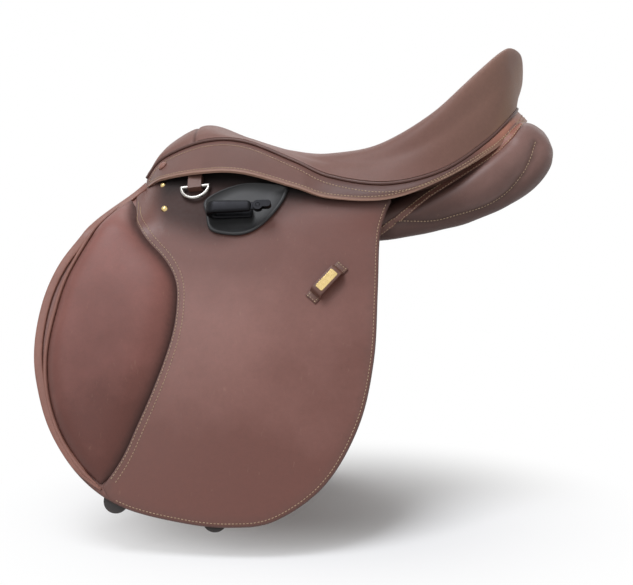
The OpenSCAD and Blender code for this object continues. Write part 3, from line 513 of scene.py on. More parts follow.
def reach_to(points, line):
    """Distance of each point from a line of closely spaced points."""
    out = np.full(len(points), 1e9)
    for q in line:
        out = np.minimum(out, np.linalg.norm(points - q, axis=1))
    return out


def strap_rings(line, normals, width, thick, rise=0.0):
    """Flat straps with rounded edges: rings across a line that lies on a surface."""
    t = unit(np.gradient(line, axis=0))
    n = unit(normals)
    side = unit(np.cross(n, t))
    w = width / 2
    r = min(thick / 2, w) * 0.9
    section = []
    for cx, cy, start in ((w - r, thick - r, 0), (r - w, thick - r, 90), (r - w, r, 180), (w - r, r, 270)):
        for step in (0, 30, 60, 90):
            a = math.radians(start + step)
            section.append((cx + r * math.cos(a), cy + r * math.sin(a)))
    section = np.array(section)[None]
    return line[:, None] + section[..., :1] * side[:, None] + (section[..., 1:] + rise) * n[:, None]


def tapered(rings, first, last, count):
    """The rings drawn in towards their middles over that many at each end."""
    n = len(rings)
    size = np.interp(np.arange(n), (0, count, n - 1 - count, n - 1), (first, 1, 1, last))
    middle = rings.mean(axis=1, keepdims=True)
    return middle + size[:, None, None] * (rings - middle)


stitching = bpy.data.node_groups.new("stitching", "GeometryNodeTree")
for label, kind in (("Geometry", "Geometry"), ("Pitch", "Float"), ("Length", "Float"), ("Width", "Float"),
                    ("Thread", "Material")):
    stitching.interface.new_socket(label, in_out="INPUT", socket_type="NodeSocket" + kind)
stitching.interface.new_socket("Geometry", in_out="OUTPUT", socket_type="NodeSocketGeometry")
given = add_node(stitching, "NodeGroupInput").outputs
run = feed(stitching, "GeometryNodeMeshToCurve", {"Mesh": given["Geometry"]})
spaced = feed(stitching, "GeometryNodeResampleCurve", {"Curve": run, "Length": given["Pitch"]}, mode="LENGTH")
ahead = feed(stitching, "GeometryNodeInputTangent")
up = feed(stitching, "GeometryNodeInputNamedAttribute", {"Name": "up"}, data_type="FLOAT_VECTOR")
lay = feed(stitching, "FunctionNodeAlignRotationToVector", {"Vector": ahead}, axis="X")
stand = feed(stitching, "FunctionNodeAlignRotationToVector", {"Rotation": lay, "Vector": up}, axis="Z",
             pivot_axis="X")
bead = feed(stitching, "GeometryNodeMeshUVSphere", {"Segments": 6, "Rings": 4, "Radius": 0.5})
size = feed(stitching, "ShaderNodeCombineXYZ", {0: given["Length"], 1: given["Width"], 2: given["Width"]})
laid = feed(stitching, "GeometryNodeInstanceOnPoints",
            {"Points": spaced, "Instance": bead, "Rotation": stand, "Scale": size})
real = feed(stitching, "GeometryNodeRealizeInstances", {0: laid})
soft = feed(stitching, "GeometryNodeSetShadeSmooth", {0: real})
sewn = feed(stitching, "GeometryNodeSetMaterial", {"Geometry": soft, "Material": given["Thread"]})
fill(stitching, add_node(stitching, "NodeGroupOutput"), {0: sewn})
STITCH_INPUTS = {s.name: s.identifier for s in stitching.interface.items_tree if s.in_out == "INPUT"}

thread, tree, shader = new_material("thread", (186, 160, 130), 0.8)
relief(tree, shader, use_group(tree, weave, Threads=2400.0)["Height"], 0.0002, 0.6)


def stitched(name, runs, sign, pitch=3.6, length=2.7, width=0.9):
    """Rows of stitches along runs of points and normals, as one mesh."""
    points, normals, links = [], [], []
    for line, up in runs:
        start = len(points)
        points += ((line + 0.15 * up) * (1, sign, 1) * MM).tolist()
        normals += (up * (1, sign, 1)).tolist()
        links += [(i, i + 1) for i in range(start, len(points) - 1)]
    mesh = bpy.data.meshes.new(name)
    mesh.from_pydata(points, links, [])
    mesh.attributes.new("up", "FLOAT_VECTOR", "POINT").data.foreach_set("vector", np.ravel(normals))
    made = add_object(name, mesh)
    sewing = made.modifiers.new("sewing", "NODES")
    sewing.node_group = stitching
    for label, value in (("Pitch", pitch), ("Length", length), ("Width", width)):
        sewing[STITCH_INPUTS[label]] = value * MM
    sewing[STITCH_INPUTS["Thread"]] = thread
    return applied(made)


def lumps(points, scale, depth):
    """Slow unevenness, as in flock or foam under leather."""
    return np.array([depth * noise.noise(Vector(p) / scale) for p in points.tolist()])


def on_panel(line):
    return dropped_on(panel_points, panel_faces, even(spline(line, 8), 2.5))


panel_rings = cushion_rings(spline(PANEL_LINE, PANEL_STEPS), PANEL_SIDES, 0.75)
panel_points, panel_faces = skin(panel_rings)
panel_body = panel_points[:-2]
panel_up = grid_normals(panel_rings).reshape(-1, 3)
panel_up *= np.sign(np.sum(panel_up * (panel_rings - panel_rings.mean(1, keepdims=True)).reshape(-1, 3)))
gullet_seam = panel_rings[6:-8, PANEL_SIDES // 2 + 6]
grooves = np.zeros(len(panel_up))
for seam, deep, wide in (
        (on_panel(BINDING)[0], 2.2, 5), (on_panel(GUSSET)[0], 2.4, 4), (gullet_seam, 2.0, 4)):
    far = reach_to(panel_body, seam)
    grooves += deep * bell(far, wide) - 1.2 * bell(far - 15, 9)
grooves *= np.interp(panel_body[:, 2], (80, 102), (1, 0.2))
panel_body += (lumps(panel_body, 34, 1.3) - grooves)[:, None] * panel_up
binding_at, binding_up = on_panel(BINDING)
gusset_at, gusset_up = on_panel(GUSSET)
# Painted shade: the panel darker where it faces down, and towards the front where the flap and band shade it.
shaded = 0.5 * np.clip(-panel_up[:, 2] * 1.3 + 0.1, 0, 1)
shaded = np.maximum(shaded, np.interp(panel_body[:, 0], (40, 120, 190), (0.55, 0.5, 0)))
panel_shade = np.r_[shaded, 0, 0]
panel_edge = np.r_[0.7 * bell(reach_to(panel_body, gusset_at), 3), 0, 0]
binding_rings = tapered(strap_rings(binding_at, binding_up, 8, 2.2, -0.6), 1, 0.3, 7)
# Painted highlight: the binding turns paler and more orange towards its rear end, where light catches it.
rear_highlight = 0.7 * np.linspace(-1, 1, len(binding_rings)).clip(0) ** 1.5
binding_highlight = np.r_[np.repeat(rear_highlight, binding_rings.shape[1]), 0, 0.7]
across = unit(np.cross(binding_up, np.gradient(binding_at, axis=0)))
runs = [(binding_at + k * across + 1.5 * binding_up, binding_up) for k in (-BINDING_HALF, BINDING_HALF)]
runs.append((gusset_at, gusset_up))
for side, sign in SIDES:
    panel = add_piece("stuffed_panel_" + side, (panel_points, panel_faces), panel_leather, sign,
                      edge=panel_edge, deep=1.5 * panel_shade, grime=0.8 * panel_shade)
    fitted(panel, "saddle", "panel_leather", "panel_" + side)
    binding = add_piece("panel_binding_" + side, skin(binding_rings), seam_leather, sign, pale=binding_highlight)
    fitted(binding, "saddle", "trim_leather", "panel_welt_" + side)
    fitted(stitched("panel_stitches_" + side, runs, sign), "saddle", "trim_leather")

# Sweat flaps, girth webs and billets
# Under each flap a plain leather sweat flap lies along the panel. Webs come down through two cut-outs
# in it and carry the black girth straps on rivets; the straps are lined, edge-sewn and punched.
FOLD_Z = -18
FOLD_Y = 126
SPLAY = math.radians(18)
TOE_IN = math.radians(3)
SWEAT_LINE = (
    (-208, -6), (-222, 20), (-240, 70), (-247, 125), (-236, 180), (-200, 225), (-145, 248), (-80, 252),
    (-22, 236), (18, 192), (38, 125), (45, 55), (47, -6))
SWEAT_TOP = -6
SWEAT_LOW = -9.4
SWEAT_THICK = 3.0
SLOT_HALF = 14.5
SLOT_FOOT = 22.8
BILLETS = (("front", -176, 281), ("rear", -74, 298))
BILLET_SLANT = math.radians(4.5)
BILLET_TOP = 8
BILLET_SEWN = 9.5
BILLET_FACE = -1.6
EDGE_SPACING = 3.0
EDGE_BAND = 2.5
sweat_leather = leather("sweat_leather", (104, 74, 62), (82, 56, 46), (60, 40, 32), 0.5, 520.0, 0.0003)
billet_leather = leather("billet_leather", (44, 38, 36), (30, 26, 25), (24, 21, 20), 0.42, 900.0, 0.0002)


def on_plane(p, n):
    """Points under the flap, along its fold, down its fall and at a height over its inner side."""
    p = np.asarray(p, float)
    n = np.broadcast_to(np.asarray(n, float), len(p))
    y = p[:, 1] * math.sin(SPLAY) + n * math.cos(SPLAY)
    z = n * math.sin(SPLAY) - p[:, 1] * math.cos(SPLAY)
    a, b = math.sin(TOE_IN), math.cos(TOE_IN)
    return np.stack([p[:, 0] * b - y * a, FOLD_Y + p[:, 0] * a + y * b, FOLD_Z + z], axis=1)


PLANE_OUT = on_plane(np.zeros((1, 2)), 1)[0] - on_plane(np.zeros((1, 2)), 0)[0]


def turned_left(outline):
    """The outline in counter-clockwise order."""
    p = np.asarray(outline, float)
    q = np.roll(p, -1, axis=0)
    return p if np.sum(p[:, 0] * q[:, 1] - q[:, 0] * p[:, 1]) > 0 else p[::-1]


def drawn_in(outline, amount):
    """A counter-clockwise outline moved inwards."""
    t = unit(np.roll(outline, -1, axis=0) - np.roll(outline, 1, axis=0))
    return outline - amount * np.stack([t[:, 1], -t[:, 0]], axis=1)


def inside(points, outline):
    """Which points lie inside an outline."""
    out = np.zeros(len(points), bool)
    for a, b in zip(outline, np.roll(outline, -1, axis=0)):
        crosses = (a[1] > points[:, 1]) != (b[1] > points[:, 1])
        if crosses.any():
            at = a[0] + (points[:, 1] - a[1]) / (b[1] - a[1] + 1e-12) * (b[0] - a[0])
            out ^= crosses & (points[:, 0] < at)
    return out


def sheet(outline, low, thick, place, spacing=8.0, lift=None):
    """A cut sheet with rounded edges over an outline: its points and faces, and nearness to the edge."""
    rim = turned_left(even(turned_left(outline), EDGE_SPACING, closed=True))
    radius = thick / 2
    guard = drawn_in(rim, radius + EDGE_BAND)
    lo, hi = rim.min(0), rim.max(0)
    rows = np.arange(lo[1], hi[1], spacing * 0.866)
    grid = np.array([(x, z) for i, z in enumerate(rows)
                     for x in np.arange(lo[0] + (i % 2) * spacing / 2, hi[0], spacing)])
    grid = grid[inside(grid, guard) & (reach_to(grid, guard[::2]) > spacing * 0.6)]
    cut = [Vector(p) for p in np.vstack([drawn_in(rim, radius), guard, grid]).tolist()]
    n = len(rim)
    turn = [(i, (i + 1) % n) for i in range(n)]
    made = geometry.delaunay_2d_cdt(cut, turn + [(n + i, n + k) for i, k in turn], [], 1, 1e-4)
    at = np.array([tuple(v) for v in made[0]])
    where = {s: i for i, sources in enumerate(made[3]) for s in sources}
    edge = bell(reach_to(at, rim[::2]), 5)
    m = len(at)
    top = np.full(m, low + thick) if lift is None else low + thick + lift(at)
    points = [place(at, top), place(at, np.full(m, low))]
    faces = [tuple(reversed(f)) for f in made[2]] + [tuple(i + m for i in f) for f in made[2]]
    last = [where[i] for i in range(n)]
    bottom = [i + m for i in last]
    start = 2 * m
    for step in (30, 60, 90, 120, 150, 180):
        a = math.radians(step)
        new = bottom
        if step < 180:
            points.append(place(drawn_in(rim, radius - radius * math.sin(a)),
                                np.full(n, low + radius + radius * math.cos(a))))
            new = list(range(start, start + n))
        faces += [(last[i], last[k], new[k], new[i]) for i, k in turn]
        last = new
        start += n
    return (np.vstack(points), faces), np.r_[edge, edge, np.ones(5 * n)]


def flat_run(at):
    """Points on the flat of the flap as a run of stitches."""
    return at, np.tile(PLANE_OUT, (len(at), 1))


slots = []
for _, u, _ in reversed(BILLETS):
    slots += [(u + SLOT_HALF, SWEAT_TOP), (u + SLOT_HALF, SLOT_FOOT), (u - SLOT_HALF, SLOT_FOOT),
              (u - SLOT_HALF, SWEAT_TOP)]
sweat_outline = np.vstack([spline(SWEAT_LINE, 6), slots])
sweat_shape, sweat_edge = sheet(sweat_outline, SWEAT_LOW, SWEAT_THICK, on_plane, 9.0)
sweat_sewn = even(drawn_in(turned_left(spline(SWEAT_LINE[1:-1], 6)), 5), 4.0)
sweat_run = flat_run(on_plane(sweat_sewn, SWEAT_LOW + SWEAT_THICK))
for side, sign in SIDES:
    leaf = add_piece("sweat_leaf_" + side, sweat_shape, sweat_leather, sign, edge=sweat_edge)
    fitted(leaf, "saddle", "under_leather", "sweat_flap_" + side)
    fitted(stitched("sweat_stitches_" + side, [sweat_run], sign, 4.2, 3.0), "saddle", "under_leather")
    softened("girth_webs_" + side, 0.4, webbing, "webbing")
    for where, u, length in BILLETS:
        body = where + "_billet_" + side
        softened(body, 0.7, billet_leather, "black_leather", body)
        t = np.linspace(-6, length - 16, 80)
        s, c = math.sin(BILLET_SLANT), math.cos(BILLET_SLANT)
        runs = []
        for k in (-BILLET_SEWN, BILLET_SEWN):
            row = np.stack([u - t * s + k * c, BILLET_TOP + t * c + k * s], axis=1)
            runs.append(flat_run(on_plane(row, BILLET_FACE)))
        fitted(stitched(body + "_stitches", runs, sign, 4.2, 3.0, 0.8), body, "black_leather")
dress(steel, "steel", "billet_rivets")

# Seat lines
# The crest of the seat and the welt round it, at eleven stations from nose to cantle. The flap's head
# ends under the welt, so they come before the flaps; the seat itself goes on after.
NOSE_X = -194
CREST = np.array((
    (-194, 0, 62), (-171.9, 0, 94), (-127, 0, 115), (-77.3, 0, 99.8), (-24.8, 0, 83.1), (15, 0, 77),
    (74.1, 0, 80.7), (137.4, 0, 100.4), (185.9, 0, 137.3), (214.4, 0, 181.6), (226, 0, 197)))
WELT_Y = (34, 47, 62, 77, 98, 112, 127, 126, 104, 66, 0)
WELT_SHIFT = (-1, -2, 0, -3, 0, 0, 0, -5, -4, 4, 8)
WELT_DROP = (8, 18, 22, 8, 14, 26, 38, 44, 49, 60, 61)
WELT = CREST + np.stack([WELT_SHIFT, WELT_Y, -np.array(WELT_DROP)], axis=1)


def hermite(k, a, rise, b, fall):
    """A smooth step from a to b with these slopes at its ends."""
    return (a * (2 * k ** 3 - 3 * k ** 2 + 1) + rise * (k ** 3 - 2 * k ** 2 + k)
            + b * (3 * k ** 2 - 2 * k ** 3) + fall * (k ** 3 - k ** 2))


def along(table, x):
    """Height or width at x through a table, smooth and without overshoot."""
    i = np.clip(np.searchsorted(table[:, 0], x) - 1, 0, len(table) - 2)
    slope = np.gradient(table[:, 1], table[:, 0])
    h = table[i + 1, 0] - table[i, 0]
    k = np.clip((x - table[i, 0]) / h, 0, 1)
    return hermite(k, table[i, 1], slope[i] * h, table[i + 1, 1], slope[i + 1] * h)


def head_top(x):
    """Height and half width of the line where the flap's head ends under the seat."""
    ease = np.clip((x - NOSE_X) / 60, 0, 1)
    z = along(WELT[:8, [0, 2]], x) - 13 * (1.4 - 0.4 * ease)
    y = along(WELT[:8, [0, 1]], x) - 7 * (1.6 - 0.6 * ease)
    return z, y


# Flaps
# Each flap is one stiff skirt of hide hung from the tree: the head stays fixed under the seat and the
# rest lifts on its fold. A second hide is faced over it behind the knee pad, sewn in two rows along
# an S-shaped seam.
FLAP_LINE = (
    (-198, 47), (-212, 31), (-233, 8), (-254, -18), (-275, -48), (-289, -85), (-294.5, -130), (-289, -170),
    (-271, -217), (-238, -259), (-195, -286), (-135, -300), (-85, -304), (-40, -297), (9, -263), (43, -207),
    (59, -143), (64, -75), (67, -18), (73, 6), (80, 22))
SEAM_LINE = (
    (-207, 29), (-197, 1), (-181, -21), (-161, -42), (-149.5, -62), (-146.5, -84), (-149, -114), (-157, -144),
    (-169, -177), (-182, -208), (-196, -240), (-214, -268))
SEAM_FOOT = (-205, -281)
FALL = math.tan(SPLAY) / math.cos(TOE_IN)
FLAP_THICK = 3.0
FACE_LOW = 3.05
FACE_THICK = 1.9
BEND_START = np.array((-80, 124, -12))
BEND_END = np.array((-80, 130, -40))
flap_leather = leather("flap_leather", (130, 88, 79), (101, 59, 49), (92, 58, 49), 0.42, 1100.0, 0.0001, 9.0,
                       gloss=0.45)


def face_half(x, z):
    """Half width between the flaps' inner faces: a splayed plane that curves in above the fold."""
    top, y1 = head_top(x)
    y0 = FOLD_Y + math.tan(TOE_IN) * x
    h = np.maximum(top - FOLD_Z, 1)
    lean = np.clip(1.4 * (y0 - y1) / h, 0.15, 1.2)
    curved = hermite(np.clip((z - FOLD_Z) / h, 0, 1), y0, -FALL * h, y1, -lean * h)
    above = y1 - lean * (z - top)
    return np.where(z <= FOLD_Z, y0 + FALL * (FOLD_Z - z), np.where(z > top, above, curved))


def face_normal(p):
    x, z = p[:, 0], p[:, 1]
    return unit(np.stack([(face_half(x - 1, z) - face_half(x + 1, z)) / 2, np.ones(len(p)),
                          (face_half(x, z - 1) - face_half(x, z + 1)) / 2], axis=1))


def bulge(p):
    """Outward set of the flap's leather, fullest behind the knee pad."""
    return 3.0 * bell(p[:, 0] + 95, 80) * bell(p[:, 1] + 150, 95)


def on_face(p, n):
    """Points on the flap's face at x, z and a height over its inner side."""
    p = np.asarray(p, float)
    return (np.stack([p[:, 0], face_half(p[:, 0], p[:, 1]), p[:, 1]], axis=1)
            + (np.asarray(n) + bulge(p))[:, None] * face_normal(p))


def bends(piece, side, sign, slot, *nodes):
    """The piece bends at the flap's fold, fixed above it and lifting below, and stands for these solids."""
    start, end = [tuple(p * (1, sign, 1) * MM) for p in (BEND_START, BEND_END)]
    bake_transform(piece, "saddle", "flap_" + side, start, end)
    if nodes:
        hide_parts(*nodes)
    return piece


def nearest(curve, point):
    return np.argmin(np.linalg.norm(curve - point, axis=1))


def beside(line):
    """Unit steps to one side of a line of x, z."""
    return unit(np.stack([np.gradient(line[:, 1]), -np.gradient(line[:, 0])], axis=1))


def eased(v):
    """A value held between 0 and 1, with soft ends."""
    k = np.clip(v, 0, 1)
    return k * k * (3 - 2 * k)


def skirt_shadow(points):
    """Painted shade where the skirt keeps the light off the flap, darkest close under its lip."""
    x, z = points[:, 0], points[:, 2]
    lip = np.interp(x, (-190, -150, -120, -80, -30, 20, 80), (38, 48, 53, 52, 38, 25, 20))
    foot = np.interp(x, (-190, -175, -160, -122, -105, -85, -60, -28, 0, 40),
                     (8, -4, -15, -26, -27, -21, -8, 6, 12, 14))
    wide = np.clip((z - foot + 9) / 36, 0, 1) * np.clip((x + 196) / 34, 0, 1)
    close = np.clip((z - lip + 22) / 18, 0, 1) * np.clip((x + 190) / 25, 0, 1)
    return np.clip(0.8 * eased(wide) + 0.25 * close, 0, 1)


def face_run(row):
    """A line of x, z on the facing as a run of stitches."""
    return on_face(row, FACE_LOW + FACE_THICK), face_normal(row)


top_x = np.linspace(72, -180, 26)
top_edge = np.stack([top_x, head_top(top_x)[0] - 1], axis=1)
flap_curve = spline(FLAP_LINE, 8)
flap_outline = turned_left(np.vstack([flap_curve, top_edge]))
seam_curve = spline(SEAM_LINE, 8)
rear_part = flap_curve[nearest(flap_curve, SEAM_FOOT):]
rear_trim = drawn_in(flap_outline, 0.7)[[nearest(flap_outline, p) for p in rear_part]]
flap_shape, flap_edge = sheet(np.vstack([flap_curve, top_edge]), 0.0, FLAP_THICK, on_face, 8.0)
face_outline = np.vstack([seam_curve, rear_trim, top_edge])
face_shape, face_edge = sheet(face_outline, FACE_LOW, FACE_THICK, on_face, 7.0)
seam_even = even(seam_curve, 4.0)
rear_even = even(rear_part, 4.0)
runs = [face_run((seam_even - k * beside(seam_even))[3:-3]) for k in (2.6, 8.4)]
runs.append(face_run((rear_even - 3.4 * beside(rear_even))[2:-2]))
face_x, face_z = face_shape[0][:, 0], face_shape[0][:, 2]
# Painted shade under the skirt at the top of the facing; besides, darker towards the bottom, near the rear
# edge and in a patch low in the middle.
face_shade_and_patches = np.interp(face_z, (-300, -255, -200, -100, -45, 0), (1.0, 0.85, 0.35, 0.05, 0.7, 1.0))
face_shade_and_patches += 0.4 * bell(face_x - 60, 50) + 0.35 * bell(face_x + 64, 50) * bell(face_z + 250, 38)
for side, sign in SIDES:
    flap = add_piece("flap_hide_" + side, flap_shape, flap_leather, sign, edge=flap_edge,
                     grime=skirt_shadow(flap_shape[0]))
    bends(flap, side, sign, "flap_leather", "flap_" + side, "flap_head_" + side)
    facing = add_piece("flap_face_" + side, face_shape, flap_leather, sign, edge=face_edge, deep=face_shade_and_patches,
                       grime=skirt_shadow(face_shape[0]))
    bends(facing, side, sign, "flap_leather", "flap_facing_" + side)
    bends(stitched("flap_stitches_" + side, runs, sign), side, sign, "flap_leather")

# Knee pads and front piping
# A soft foam block under calf, rolled over at the front and let in against the facing's seam. A piped
# cord and a rolled binding finish the front edge of the flap.
PAD_FRONT = (
    (-206, 29), (-226, 2), (-244, -24), (-264, -64), (-274, -103), (-278.5, -135), (-277, -165),
    (-269.5, -195), (-256, -223), (-236, -249), (-216, -266))
PAD_HEIGHT = 17.0
PAD_SKIN = 1.6
BAND_FOOT = (-211, -277)
BAND_INSET = 5.0
BAND_WIDE = 9.0
BAND_THICK = 3.4
BAND_SUNK = -0.6
CORD_OUT = 2.4
CORD_HEIGHT = 4.6
CORD_RADIUS = 2.2
CORD_END = 0.5 / CORD_RADIUS
pad_leather = leather("pad_leather", (128, 81, 73), (92, 52, 44), (84, 50, 42), 0.5, 1000.0, 0.0001, 12.0)
binding_leather = leather("binding_leather", (140, 97, 85), (116, 77, 66), (100, 66, 55), 0.42, 1200.0,
                          0.0001)
pad_front = spline(PAD_FRONT, 8)
pad_near = even(pad_front, 2.0)
pad_seam = even(seam_curve, 2.0)


def cord_rings(line, radius, sides=10):
    """Round rings along a line, turned with it."""
    t = unit(np.gradient(line, axis=0))
    h = unit(np.cross(t, (0.13, 0.21, 1)))
    u = np.cross(t, h)
    c, s = squared(sides, 1)
    return line[:, None] + radius * (c * h[:, None] + s * u[:, None])


def pad_lift(p):
    """Height of the pad's stuffing: rolled at the front, easing into the seam behind."""
    roll = 1 - np.exp(-reach_to(p, pad_near) / 6.5)
    ease = 1 - np.exp(-reach_to(p, pad_seam) / 13)
    full = 0.78 + 0.24 * np.cos((p[:, 1] + 95) / 70)
    return PAD_HEIGHT * full * roll * ease


pad_outline = np.vstack([pad_front[2:], even(seam_curve[5:-3], 4.0)[::-1] + (1.5, 0)])
pad_shape, pad_edge = sheet(pad_outline, FACE_LOW, PAD_SKIN, on_face, 4.5, pad_lift)
cord_line = even(pad_front[2:], 3.0)
cord_at = on_face(cord_line + CORD_OUT * beside(cord_line), CORD_HEIGHT)
cord_shape = skin(tapered(cord_rings(cord_at, CORD_RADIUS), CORD_END, CORD_END, 6))
front_line = even(flap_curve[1:nearest(flap_curve, BAND_FOOT)], 4.0)
band_at = front_line - BAND_INSET * beside(front_line)
band_line = on_face(band_at, FLAP_THICK)
band_rings = strap_rings(band_line, face_normal(band_at), BAND_WIDE, BAND_THICK, BAND_SUNK)
band_shape = skin(tapered(band_rings, 1, 0.25, 8))
# Painted shade: the pad darker towards its bottom and a little lighter at its top, as under light from above.
pad_low_shade = np.interp(pad_shape[0][:, 2], (-270, -200, -120, -40), (0.9, 0.7, 0.15, -0.2))
# Painted shade in the valley along the seam.
pad_seam_shade = 0.7 * bell(reach_to(pad_shape[0][:, [0, 2]], pad_seam), 5)
for side, sign in SIDES:
    pad = add_piece("knee_roll_" + side, pad_shape, pad_leather, sign, edge=0.6 * pad_edge, deep=pad_low_shade,
                    grime=pad_seam_shade)
    bends(pad, side, sign, "pad_leather", "knee_pad_" + side)
    cord = add_piece("knee_cord_" + side, cord_shape, binding_leather, sign)
    bends(cord, side, sign, "trim_leather", "knee_piping_" + side)
    band = add_piece("front_binding_" + side, band_shape, binding_leather, sign)
    bends(band, side, sign, "pad_leather")

# Keepers
# A short strap sewn down at both ends across the flap, which holds the end of the stirrup leather. It
# carries a bare gilt plate on two pins.
KEEPER_AT = (12, 50)
KEEPER_TURN = math.radians(-48)
KEEPER_PATH = (
    (-25, 0), (-21, 0), (-18, 0.2), (-16.3, 2.5), (-15, 7.0), (-12.5, 8.7), (0, 9), (12.5, 8.7), (15, 7.0),
    (16.3, 2.5), (18, 0.2), (21, 0), (25, 0))
KEEPER_LOW = 5.1
KEEPER_WIDE = 14
KEEPER_THICK = 2.4
KEEPER_SEWN = 4.8
keeper_leather = leather("keeper_leather", (104, 72, 62), (84, 56, 48), (66, 42, 36), 0.42, 1000.0, 0.00015)
brass = metal("brass", (210, 184, 128), 0.27, 0.25, 260.0, 0.0001)


def on_keeper(p, n):
    """Points along and across the keeper, at a height over the facing."""
    p = np.asarray(p, float)
    c, s = math.cos(KEEPER_TURN), math.sin(KEEPER_TURN)
    q = np.stack([KEEPER_AT[0] + c * p[:, 0] - s * p[:, 1], KEEPER_AT[1] + s * p[:, 0] + c * p[:, 1]], axis=1)
    return on_plane(q, KEEPER_LOW + np.asarray(n, float))


keeper_path = spline(KEEPER_PATH, 6)
keeper_mid = on_keeper(keeper_path * (1, 0), keeper_path[:, 1])
keeper_across = on_keeper(((0, 1),), 0)[0] - on_keeper(((0, 0),), 0)[0]
keeper_up = unit(np.cross(np.gradient(keeper_mid, axis=0), keeper_across))
keeper_up *= np.sign(np.sum(keeper_up[len(keeper_up) // 2] * PLANE_OUT))
keeper_shape = skin(strap_rings(keeper_mid, keeper_up, KEEPER_WIDE, KEEPER_THICK))
runs = []
for end in (-1, 1):
    rows = [(np.linspace(end * 24, end * 18.5, 6), np.full(6, k)) for k in (-KEEPER_SEWN, KEEPER_SEWN)]
    rows.append((np.full(6, end * 23.6), np.linspace(-KEEPER_SEWN, KEEPER_SEWN, 6)))
    runs += [flat_run(on_keeper(np.stack(row, axis=1), KEEPER_THICK)) for row in rows]
for side, sign in SIDES:
    body = "flap_" + side
    keeper = add_piece("keeper_strap_" + side, keeper_shape, keeper_leather, sign)
    fitted(keeper, body, "keeper_leather", "keeper_" + side)
    fitted(stitched("keeper_stitches_" + side, runs, sign, 2.6, 2.0, 0.8), body, "keeper_leather")
    softened("keeper_plate_" + side, 0.3, brass, "brass", body)

# Stirrup bars and trays
# A forged bar on a base plate holds the stirrup leather, with a forked catch on a pin at its open end.
# A moulded black dish lies behind it, so that the leather runs clear of the flap.
TRAY_AT = np.array((-79, 19))
TRAY_LINE = (
    (-38, 2), (-38, -14), (-33, -30), (-14, -35), (4, -34), (20, -26), (36, -10), (46, 6), (44, 16), (0, 18))
TRAY_PROFILE = (  # share of the outline, height over the flap's inner side
    (0.02, 5.4), (1.0, 5.4), (1.02, 7.2), (1.0, 8.8), (0.965, 9.2), (0.93, 8.6), (0.9, 7.2), (0.5, 6.9),
    (0.02, 6.9))
BAR_AT = np.array(((-81, 6),), float)
BAR_BACK = 8.4
BEND_X = -24.8
BEND_OUT = 9.35
BEND_RADIUS = 7.15
BAR_END = 14
BAR_LEVEL = 16.5
dark_steel = metal("dark_steel", (32, 32, 34), 0.46, 0.25, 180.0, 0.00015)
black_plastic, tree, shader = new_material("black_plastic", (30, 30, 31), 0.58)
relief(tree, shader, cloudy(tree, spot(tree), 900.0, 2.0), 0.0001, 0.5)
tray_edge = spline(TRAY_LINE, 8, closed=True)
tray_shape = skin([on_face(TRAY_AT + k * tray_edge, n) for k, n in TRAY_PROFILE])
bar_out = face_normal(BAR_AT)[0]
bar_long = unit(np.array((1, 0, 0)) - bar_out[0] * bar_out)
bar_tall = np.cross(bar_out, bar_long)
bar_zero = np.array((BAR_AT[0, 0], face_half(*BAR_AT.T)[0], BAR_AT[0, 1])) + BAR_BACK * bar_out


def forged(path, tall, thick):
    """Oval rings along a path in the bar's own plane, with rounded ends."""
    at = bar_zero + path[:, :1] * bar_long + path[:, 1:] * bar_out
    n = np.cross(unit(np.gradient(at, axis=0)), bar_tall)
    c, s = squared(24, 0.55)
    step = np.minimum(np.arange(len(path)), np.arange(len(path))[::-1])
    end = np.sqrt(1 - np.clip(1 - (step + 0.2) / 3, 0, 1) ** 2)[:, None, None]
    oval = tall[:, None, None] * c * bar_tall + thick[:, None, None] * s * n[:, None]
    return skin(at[:, None] + end * oval)


def joined(first, second):
    """Two shapes as one."""
    start = len(first[0])
    return np.vstack([first[0], second[0]]), first[1] + [tuple(start + i for i in f) for f in second[1]]


turn = np.radians(np.arange(-90, -271, -12))
hook = np.stack([BEND_X + BEND_RADIUS * np.cos(turn), BEND_OUT + BEND_RADIUS * np.sin(turn)], axis=1)
hook = even(np.vstack([[(BAR_END, BEND_OUT - BEND_RADIUS)], hook, [(BAR_END, BAR_LEVEL)]]), 1.2)
share = np.linspace(0, 1, len(hook))
bar_shape = forged(hook, np.interp(share, (0, 0.3, 0.7, 1), (6.5, 6.9, 6.8, 5.8)),
                   np.interp(share, (0, 0.4, 0.6, 1), (2.0, 2.4, 3.3, 3.4)))
tongue = np.stack([np.linspace(10, 25.5, 16), np.full(16, BAR_LEVEL)], axis=1)
tongue_tall = np.sqrt(np.clip(20.5 - np.clip(tongue[:, 0] - 21, 0, 9) ** 2, 1, 99))
bar_shape = joined(bar_shape, forged(tongue, tongue_tall, np.full(16, 1.3)))
for side, sign in SIDES:
    tray = add_piece("bar_dish_" + side, tray_shape, black_plastic, sign)
    fitted(tray, "saddle", "black_plastic", "bar_tray_" + side)
    bar = add_piece("forged_bar_" + side, bar_shape, dark_steel, sign)
    fitted(bar, "saddle", "chrome", "stirrup_bar_" + side)
    softened("bar_catch_" + side, 0.5, dark_steel, "chrome", "catch_" + side, 3)
    softened("catch_pin_" + side, 0.3, dark_steel, "steel")

# Dees and studs
# Chromed wire dees hang from short leather chapes in front of the bars, and two domed brass studs hold
# the head of the flap to the tree.
chrome = metal("chrome", (158, 155, 150), 0.26, 0.25, 220.0, 0.00012)
for side, sign in SIDES:
    softened("dee_chape_" + side, 1.2, keeper_leather, "keeper_leather", segments=3)
    dress(chrome, "chrome", "dee_ring_" + side)
dress(brass, "brass", "flap_studs")

